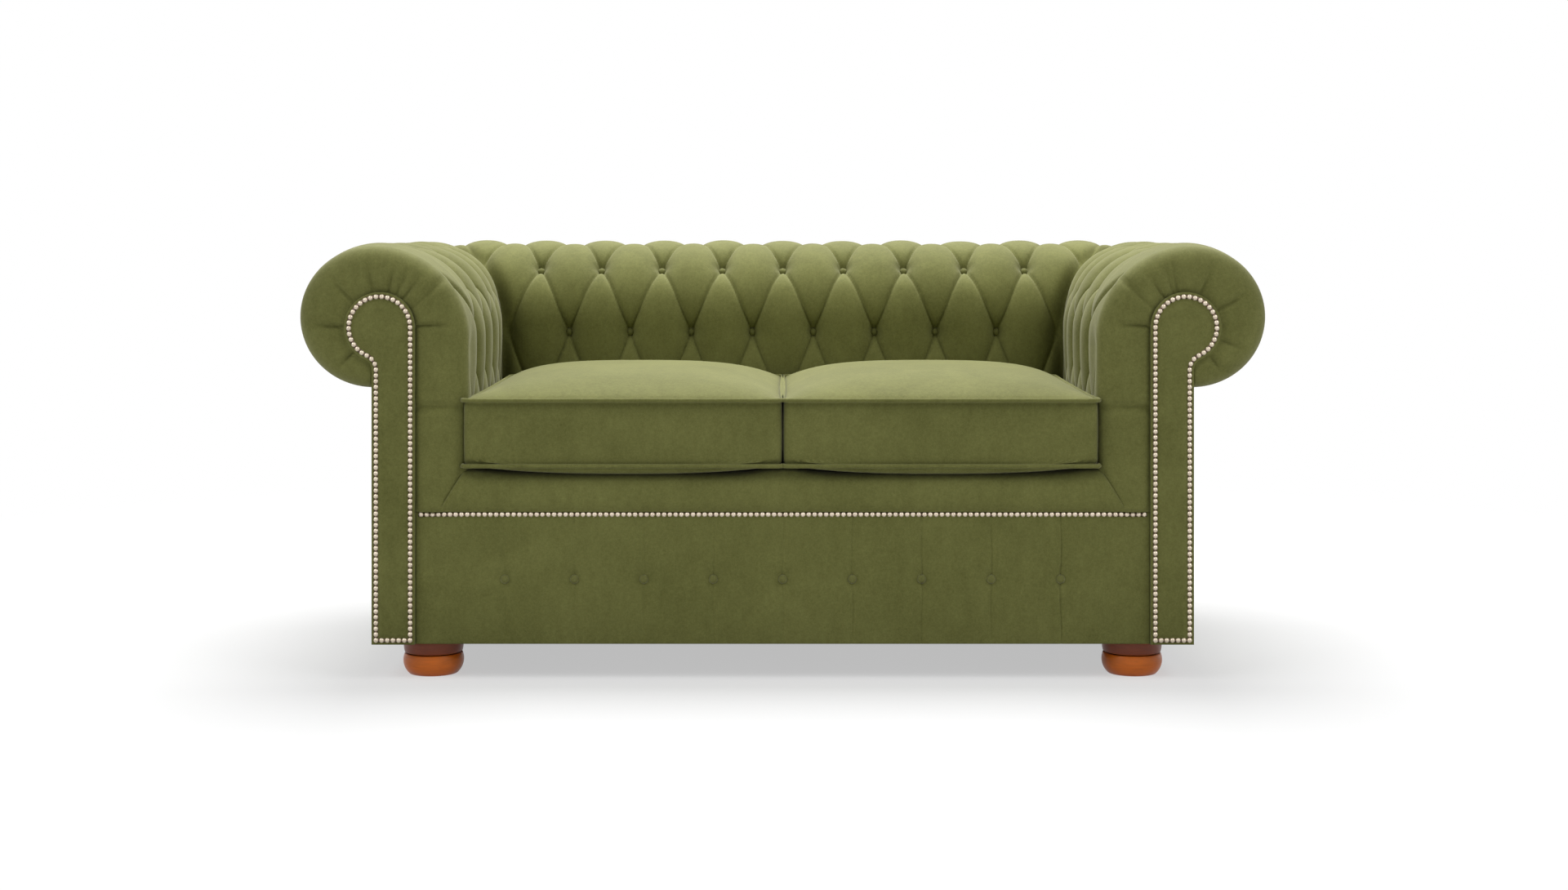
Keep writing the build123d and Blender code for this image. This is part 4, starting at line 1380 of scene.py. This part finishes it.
@dataclass
class BedCloth:
    """Flat cloth: the webbing decks of the bed, the lining under the base and the pull strap."""

    finishes: Finishes
    deck_grid: tuple[int, int] = (200, 110)
    strap_pitch: float = 0.066
    strap_relief: float = 0.0007
    end_gap: float = 0.003
    lining_grid: tuple[int, int] = (180, 110)
    lining_drop: float = 0.0008
    sag: float = 0.004
    foot_hole: float = 0.066
    band_grid: tuple[int, int] = (16, 60)
    band_wave: float = 0.0004
    band_waist: float = 0.012
    wall: float = 0.0006

    def deck(self, name: str) -> None:
        """A section's deck of crossed webbing: z lifts as tanh(3 sin(pi x / pitch) sin(pi y / pitch)).

        Args:
            name: of the section.
        """
        low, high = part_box(f"{name}_deck")
        rows = np.linspace(low[1] + self.end_gap, high[1] - self.end_gap, self.deck_grid[1])
        x, y = np.meshgrid(np.linspace(low[0], high[0], self.deck_grid[0]), rows, indexing="xy")
        ends = np.sin(np.pi * (y - low[1]) / (high[1] - low[1])) ** 0.3
        edge = (1 - (2 * x / (high[0] - low[0])) ** 8) * ends
        weave = np.sin(np.pi * x / self.strap_pitch) * np.sin(np.pi * y / self.strap_pitch)
        z = (low[2] + high[2]) / 2 + self.strap_relief * np.tanh(3 * weave) * edge
        draft = Draft(f"{name}_webbing").sheet(points_of(x, y, z))
        self._cloth(draft, f"{name}_deck", f"{name}_section", "webbing")

    def lining(self) -> None:
        """The lining stapled under the base, sagging as the product of two sine arches to the power 0.8."""
        low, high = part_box("dust_cover")
        lines = [np.linspace(low[k], high[k], self.lining_grid[k]) for k in (0, 1)]
        x, y = np.meshgrid(*lines, indexing="xy")
        across = np.cos(np.pi * x / (high[0] - low[0]))
        along = np.sin(np.pi * (y - low[1]) / (high[1] - low[1]))
        z = high[2] - self.lining_drop - self.sag * np.clip(across * along, 0, 1) ** 0.8
        squares = grid_quads(*x.shape)
        middle = np.stack([x.ravel()[squares].mean(axis=1), y.ravel()[squares].mean(axis=1)], -1)
        feet = [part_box(f"foot_{end}_{side.word}") for end in ("front", "rear") for side in Side]
        spots = np.array([[(a[0] + b[0]) / 2, (a[1] + b[1]) / 2] for a, b in feet])
        clear = np.linalg.norm(middle[:, None] - spots[None], axis=2).min(axis=1) > self.foot_hole
        draft = Draft("base_lining").add(points_of(x, y, z), squares[clear])
        self._cloth(draft, "dust_cover", "sofa", "lining")

    def strap(self) -> None:
        """The pull strap, lying up the front of the foot section, with a slight wave and waist."""
        low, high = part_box("pull_strap")
        across = np.linspace(-1, 1, self.band_grid[0])[None, :]
        up = np.linspace(0, 1, self.band_grid[1])[:, None]
        z = low[2] + (high[2] - low[2]) * up
        y = (low[1] + high[1]) / 2 - self.band_wave * np.sin(3 * np.pi * up)
        half = (high[0] - low[0]) / 2 * across * (1 - self.band_waist * np.sin(np.pi * up))
        draft = Draft("pull_strap_band").sheet(points_of((low[0] + high[0]) / 2 + half, y, z))
        self._cloth(draft, "pull_strap", "foot_section", "webbing")

    def _cloth(self, draft: Draft, node: str, body: str, slot: str) -> None:
        """Makes a sheet with a thin wall, in its CAD node's place.

        Args:
            draft: its patches.
            node: the CAD node.
            body: what it rides on.
            slot: of the record.
        """
        made = draft.piece(self.finishes, slot, body, close=False)
        thick = made.modifiers.new("wall", "SOLIDIFY")
        thick.thickness = self.wall
        thick.offset = 0.0
        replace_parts(made, node)

    def build(self) -> None:
        """Makes every sheet."""
        for name in SECTIONS:
            self.deck(name)
        self.lining()
        self.strap()


@dataclass
class FrontBorder:
    """The padded lip in front of the seat, and the buttoned panel under the nail row."""

    finishes: Finishes
    lip_grid: tuple[int, int] = (240, 40)
    lip_spread: float = 0.046
    lip_lift: float = 0.009
    lip_middle: float = 0.09
    lip_forward: float = 0.004
    lip_ends: float = 0.006
    lip_pull: Pair = (0.003, 0.12)
    lip_ripple: float = 0.0009
    lip_waves: Triple = (41, 3, 17)
    lip_fill: float = 0.8
    panel_grid: tuple[int, int] = (420, 110)
    panel_bow: float = 0.0025
    panel_fill: float = 0.9
    button: Button = Button(0.0088, 0.0066, 4.0)
    buttons: int = 9
    button_pitch: float = 0.1246
    button_height: float = 0.179
    button_seat: float = 0.0030
    dimple: Pair = (0.0048, 0.0150)
    seam_zone: float = 0.008
    seam_points: int = 25
    seam_width: float = 0.0017
    seam_lean: float = 0.0012
    lean_waves: Pair = (9, 40)
    seam_least: float = 0.35
    seam_depths: tuple[float, ...] = (
        0.0006, 0.0008, 0.0008, 0.0011, 0.0010, 0.0014, 0.0017, 0.0016, 0.0021
    )

    def lip(self) -> None:
        """The lip: a quarter of a rounded box, y = back - d cos(a)^0.62 and z = foot + h sin(a)^0.7.

        Its ends run out as they go down, where the arms' pads meet them at a slant. It swells upwards by
        |x|^8 at the ends and by a bell in the middle, where the cushions press least.
        """
        low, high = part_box("front_lip")
        along = np.linspace(-1, 1, self.lip_grid[0])[None, :]
        turn = np.linspace(0, math.pi / 2, self.lip_grid[1])[:, None]
        up = np.sin(turn) ** 0.7
        y = high[1] - (high[1] - low[1] + self.lip_forward) * np.cos(turn) ** 0.62
        pull = self.lip_pull[0] * bell(up, self.lip_pull[1])
        meeting = np.abs(along) ** 8 + bell(along, self.lip_middle)
        z = low[2] + (high[2] - low[2] + self.lip_lift * meeting) * up
        half = high[0] + self.lip_spread * (1 - up) + self.lip_ends
        fast, sway, slow = self.lip_waves
        ripple = self.lip_ripple * np.sin(fast * along + sway * np.sin(slow * along)) * np.sin(np.pi * up)
        front = points_of(half * along, y + pull + ripple, z)
        back = points_of(half[-1:] * along, high[1], low[2])
        draft = Draft("front_lip_cover").sheet(np.concatenate([front, back, front[:1]]))
        draft.cover(self.finishes, "front_lip", self.lip_fill)

    def panel(self) -> None:
        """The panel: a bowed sheet with a dimple at each button and a fine upright seam through it."""
        low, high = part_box("front_panel")
        spots = self.button_pitch * (np.arange(self.buttons) - (self.buttons - 1) / 2)
        near = spots[:, None] + self.seam_zone * np.linspace(-1, 1, self.seam_points)[None, :]
        even = np.linspace(low[0], high[0], self.panel_grid[0])
        x = np.unique(np.concatenate([even, near.ravel()]))[None, :]
        up = np.linspace(0, 1, self.panel_grid[1])[:, None]
        z = low[2] + (high[2] - low[2]) * up
        y = low[1] - self.panel_bow * np.sin(np.pi * up) ** 0.6 * (1 - np.abs(x / high[0]) ** 12)
        strength = self.seam_least + (1 - self.seam_least) * np.sin(np.pi * up) ** 0.5
        for spot, deep in zip(spots, self.seam_depths):
            y = y + self.dimple[0] * bell(np.hypot(x - spot, z - self.button_height), self.dimple[1])
            lean = spot + self.seam_lean * np.sin(self.lean_waves[0] * up + self.lean_waves[1] * spot)
            y = y + deep * bell(x - lean, self.seam_width) * strength
        front = points_of(x, y, z)
        rear = [points_of(x, high[1], level) for level in (high[2], low[2])]
        draft = Draft("front_panel_cover").sheet(np.concatenate([front, *rear, front[:1]]))
        draft.cover(self.finishes, "front_panel", self.panel_fill)
        normal, side = np.array([0.0, -1.0, 0.0]), np.array([1.0, 0.0, 0.0])
        feet = [np.array([spot, low[1] + self.button_seat, self.button_height]) for spot in spots]
        domes = [self.button.dome(foot, normal, side) for foot in feet]
        self.button.piece("front_panel_button_covers", domes, self.finishes, "front_panel_buttons")

    def build(self) -> None:
        """Makes the lip, the panel and its buttons."""
        self.lip()
        self.panel()


@dataclass
class ArmFronts:
    """The two nail-trimmed facings, and the flat dark tapes under all the nails, which paint shade in the
    gaps between them.
    """

    finishes: Finishes
    pads: ButtonedPads
    puff: float = 0.0035
    puff_ring: Pair = (0.22, 0.5)
    rings: int = 12
    fill: float = 0.9
    climb_points: int = 90
    head_points: int = 70
    bend_points: int = 14
    fall_points: int = 80
    tape: Pair = (0.0045, 0.0115)
    shade_band_rise: float = 0.0005
    shade_band_sink: float = 0.001
    shade_band_points: int = 60
    corner_run: float = 0.6

    def _edge(self) -> Curve:
        """The facing's edge: up the inside, over the head, round the neck, down the outside and back.

        Returns:
            (count, 2) points of the edge, and for each the place towards which the cloth runs in.
        """
        facing = self.pads.facing
        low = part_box("arm_facing_right")[0][2]
        half = (facing.outer - facing.inner) / 2
        climb = np.linspace(low, facing.head_v, self.climb_points, endpoint=False)
        over = np.linspace(math.pi, -facing.neck_turn, self.head_points, endpoint=False)
        under = np.linspace(math.pi - facing.neck_turn, math.pi, self.bend_points, endpoint=False)
        fall = np.linspace(facing.neck[1], low, self.fall_points)
        foot = np.linspace(facing.outer, facing.inner, self.bend_points)[1:-1]
        rise, drop = (facing.inner, climb), (facing.outer, fall)
        runs = (rise, facing.on_head(over), facing.on_neck(under), drop, (foot, low))
        edge = np.concatenate([points_of(*run) for run in runs])
        level = np.clip(edge[:, 1], low + half, facing.head_v)
        middle = points_of((facing.inner + facing.outer) / 2, level)
        middle[len(climb):len(climb) + len(over)] = (facing.head_u, facing.head_v)
        return edge, middle

    def _shade_band(self, edge: np.ndarray, face: float) -> np.ndarray:
        """A flat dark tape under the nails, painted shade for the gaps between them: the edge moved in
        square to its run by two distances.

        Args:
            edge: (count, 2) points of the facing's edge.
            face: y of the tape.

        Returns:
            (2, count, 3) points.
        """
        run = np.roll(edge, -1, axis=0) - np.roll(edge, 1, axis=0)
        run /= np.linalg.norm(run, axis=1, keepdims=True)
        inward = np.stack([run[:, 1], -run[:, 0]], -1)
        turned = np.abs(run).min(axis=1, keepdims=True)
        corner = (turned > self.corner_run) & (edge[:, 1:] < edge[:, 1].min() + 1e-4)
        far = np.where(corner, math.sqrt(2), 1.0)
        rows = [edge + inward * far * step for step in self.tape]
        return np.stack([points_of(row[:, 0] + self.pads.centre_x, face, row[:, 1]) for row in rows])

    def facings(self) -> None:
        """Each facing: rings from its edge in to a flat middle, puffed past the nails, and its dark tape of
        painted shade under the nails.
        """
        low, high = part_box("arm_facing_right")
        edge, middle = self._edge()
        ring = np.linspace(0, self.puff_ring[1], self.rings)[:, None]
        x = self.pads.centre_x + edge[:, 0] + (middle[:, 0] - edge[:, 0]) * ring
        z = edge[:, 1] + (middle[:, 1] - edge[:, 1]) * ring
        face = points_of(x, low[1] - self.puff * smoothstep(*self.puff_ring, ring), z)
        grid = np.concatenate([points_of(x[:1], high[1], z[:1]), face])
        tape = self._shade_band(edge, low[1] - self.shade_band_rise)
        painted_shade_backing = np.concatenate([tape, tape[::-1] + np.array([0, self.shade_band_rise, 0]), tape[:1]])
        for side in Side:
            mirror = np.array([side.value, 1, 1])
            draft = Draft(f"arm_facing_{side.word}_cover").sheet(grid * mirror, around=True)
            draft.cover(self.finishes, f"arm_facing_{side.word}", self.fill)
            draft = Draft(f"facing_nail_strip_{side.word}").sheet(painted_shade_backing * mirror, around=True)
            # its dark finish is painted shade in the gaps between the nails
            draft.piece(self.finishes, "nail_metal", finish="painted_nail_gap_shade")

    def border(self) -> None:
        """The dark tape under the nail row of the front border, painted shade in the gaps between the
        nails.
        """
        low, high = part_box("border_nails")
        face, back = high[1] - self.shade_band_rise, high[1] + self.shade_band_sink
        half = (self.tape[1] - self.tape[0]) / 2
        under, over = (low[2] + high[2]) / 2 - half, (low[2] + high[2]) / 2 + half
        rim = np.array([(face, under), (face, over), (back, over), (back, under), (face, under)])
        run = np.linspace(low[0], high[0], self.shade_band_points)[None, :]
        draft = Draft("border_nail_strip").sheet(points_of(run, rim[:, :1], rim[:, 1:]))
        # its dark finish is painted shade in the gaps between the nails
        draft.piece(self.finishes, "nail_metal", finish="painted_nail_gap_shade")

    def build(self) -> None:
        """Makes the facings and every dark tape of painted shade under the nails."""
        self.facings()
        self.border()


@dataclass
class OutsideCovers:
    """Velvet drawn over the outside of the arms and the back."""

    finishes: Finishes
    bow: float = 0.004
    ripple: float = 0.0006
    waves: Triple = (9, 2.2, 3)
    grid: tuple[int, int] = (120, 70)
    fill: float = 1.0

    def _panel(self, node: str, axis: int, outward: float) -> None:
        """A bowed panel: out by bow times (1 - a^6)(1 - b^6) over the CAD board's face, with faint ripples.

        Args:
            node: the CAD board.
            axis: the one across the board.
            outward: the sign of the way out.
        """
        low, high = (np.array(corner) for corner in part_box(node))
        along = 1 - axis
        a, b = np.meshgrid(*(np.linspace(-1, 1, count) for count in self.grid), indexing="xy")
        grid = np.zeros((*a.shape, 3))
        grid[..., along] = (low[along] + high[along]) / 2 + a * (high[along] - low[along]) / 2
        grid[..., 2] = (low[2] + high[2]) / 2 + b * (high[2] - low[2]) / 2
        fast, sway, slow = self.waves
        ripple = self.ripple * np.sin(fast * a + sway * np.sin(slow * b)) * (1 - b**2)
        face, back = (high[axis], low[axis]) if outward > 0 else (low[axis], high[axis])
        grid[..., axis] = face + outward * (self.bow * (1 - a**6) * (1 - b**6) + ripple)
        rims = np.stack([grid[-1], grid[0]])
        rims[..., axis] = back
        draft = Draft(f"{node}_cover").sheet(np.concatenate([grid, rims, grid[:1]]))
        draft.cover(self.finishes, node, self.fill)

    def build(self) -> None:
        """Makes the three outside panels."""
        for side in Side:
            self._panel(f"outside_arm_panel_{side.word}", 0, side.value)
        self._panel("outside_back_panel", 1, 1.0)


@dataclass(frozen=True)
class SoftBox:
    """A square soft light that looks at the seat."""

    name: str
    place: Triple
    size: float
    power: float
    aim: Triple = (0.0, 0.0, 0.4)

    def build(self) -> None:
        """Makes the lamp."""
        light = bpy.data.lights.new(self.name, "AREA")
        light.size = self.size
        light.energy = self.power
        made = bpy.data.objects.new(self.name, light)
        made.location = self.place
        aim = Vector(self.aim) - Vector(self.place)
        made.rotation_euler = aim.to_track_quat("-Z", "Y").to_euler()
        bpy.context.collection.objects.link(made)


@dataclass
class Studio:
    """The floor, the light and the camera of the photograph's view."""

    lens: float = 52.65
    sensor: float = 36.0
    distance: float = 4.1
    eye: float = 0.819
    shift: Pair = (0.0008, -0.142)
    clip_end: float = 200.0
    lamps: tuple[SoftBox, ...] = (
        SoftBox("key", (-3.4, -2.0, 3.8), 3.4, 112.0),
        SoftBox("fill", (3.4, -2.0, 3.8), 3.2, 112.0),
        SoftBox("top", (0.0, 1.6, 4.4), 3.2, 395.0),
    )
    sky: Pair = (0.20, 1.0)
    floor_size: float = 60.0
    floor_tones: tuple[Triple, Triple] = ((0.61, 0.61, 0.61), (0.63, 0.63, 0.63))
    floor_grain: Grain = Grain(3.0, 2.0)
    floor_rough: float = 0.9
    shadow_reach: float = 1.2
    shadow_fade: float = 1.6
    paleness: float = 0.5

    def build(self) -> None:
        """Makes the floor, the lamps, the world and the camera."""
        self._floor()
        self._world()
        for lamp in self.lamps:
            lamp.build()
        camera = bpy.data.cameras.new("view")
        camera.lens = self.lens
        camera.sensor_width = self.sensor
        camera.shift_x, camera.shift_y = self.shift
        camera.clip_end = self.clip_end
        made = bpy.data.objects.new("view", camera)
        made.location = (0.0, CAD_BOX[0][1] - self.distance, self.eye)
        made.rotation_euler = (math.pi / 2, 0.0, 0.0)
        bpy.context.collection.objects.link(made)
        bpy.context.scene.camera = made

    def _world(self) -> None:
        """A white backdrop to the camera and in reflections, and a softer light on the object."""
        world = bpy.data.worlds.new("studio")
        world.use_nodes = True
        tree = world.node_tree
        path = tree.nodes.new("ShaderNodeLightPath")
        seen = tree.nodes.new("ShaderNodeMath")
        seen.operation = "MAXIMUM"
        tree.links.new(path.outputs["Is Camera Ray"], seen.inputs[0])
        tree.links.new(path.outputs["Is Glossy Ray"], seen.inputs[1])
        strength = tree.nodes.new("ShaderNodeMix")
        tree.links.new(seen.outputs[0], strength.inputs[0])
        strength.inputs[2].default_value, strength.inputs[3].default_value = self.sky
        tree.links.new(strength.outputs[0], tree.nodes["Background"].inputs["Strength"])
        tree.nodes["Background"].inputs["Color"].default_value = (1, 1, 1, 1)
        bpy.context.scene.world = world

    def _floor_finish(self) -> bpy.types.Material:
        """White paper that takes the shadow near the object and is plain white to the camera further out.

        Returns:
            The finish.
        """
        tree = NodeTree("white_floor")
        grain = tree.noise(self.floor_grain)
        tree.surface(Base_Color=tree.blend(grain, *self.floor_tones), Roughness=self.floor_rough)
        away = tree.node("VectorMath", {"operation": "LENGTH"}, {0: tree.place()}, "Value")
        far = ((away - self.shadow_reach) * (1 / self.shadow_fade)).clamp()
        far = far * (1 - self.paleness) + self.paleness
        seen = tree.node("LightPath", {}, {}, "Is Camera Ray")
        for kind in ("Is Glossy Ray", "Is Transmission Ray"):
            seen = (seen + tree.node("LightPath", {}, {}, kind)).clamp()
        glow = tree.node("Emission", {}, {"Color": (1, 1, 1, 1), "Strength": 1.0})
        paper = Socket(tree, tree.shader.outputs[0])
        mixed = tree.node("MixShader", {}, {0: far * seen, 1: paper, 2: glow})
        tree.tree.links.new(mixed.link, tree.tree.nodes["Material Output"].inputs["Surface"])
        return tree.material

    def _floor(self) -> None:
        """A plain white floor."""
        reach = self.floor_size / 2
        data = bpy.data.meshes.new("floor")
        corners = [(-reach, -reach, 0), (reach, -reach, 0), (reach, reach, 0), (-reach, reach, 0)]
        data.from_pydata(corners, [], [(0, 1, 2, 3)])
        made = bpy.data.objects.new("floor", data)
        data.materials.append(self._floor_finish())
        bpy.context.collection.objects.link(made)


def dress_frame(finishes: Finishes) -> None:
    """Gives every CAD node the finish of its slot in the record.

    Args:
        finishes: every finish.
    """
    for row in frame["record"]["subparts"]:
        node = frame["nodes"][row["node"]]
        node.data.materials.clear()
        node.data.materials.append(finishes.materials[row["material_slot"]])


def main() -> None:
    """Builds the sub-assemblies in order."""
    logging.basicConfig(level=logging.INFO, format="%(message)s")
    bpy.context.scene.view_settings.view_transform = "Standard"
    finishes = Finishes.make()
    dress_frame(finishes)
    pads = ButtonedPads(finishes)
    for assembly in (
        pads,
        ArmFronts(finishes, pads),
        FrontBorder(finishes),
        SeatCushions(finishes),
        OutsideCovers(finishes),
        BedMattress(finishes),
        BedCloth(finishes),
        Studio(),
    ):
        assembly.build()


if __name__ == "__main__":
    main()
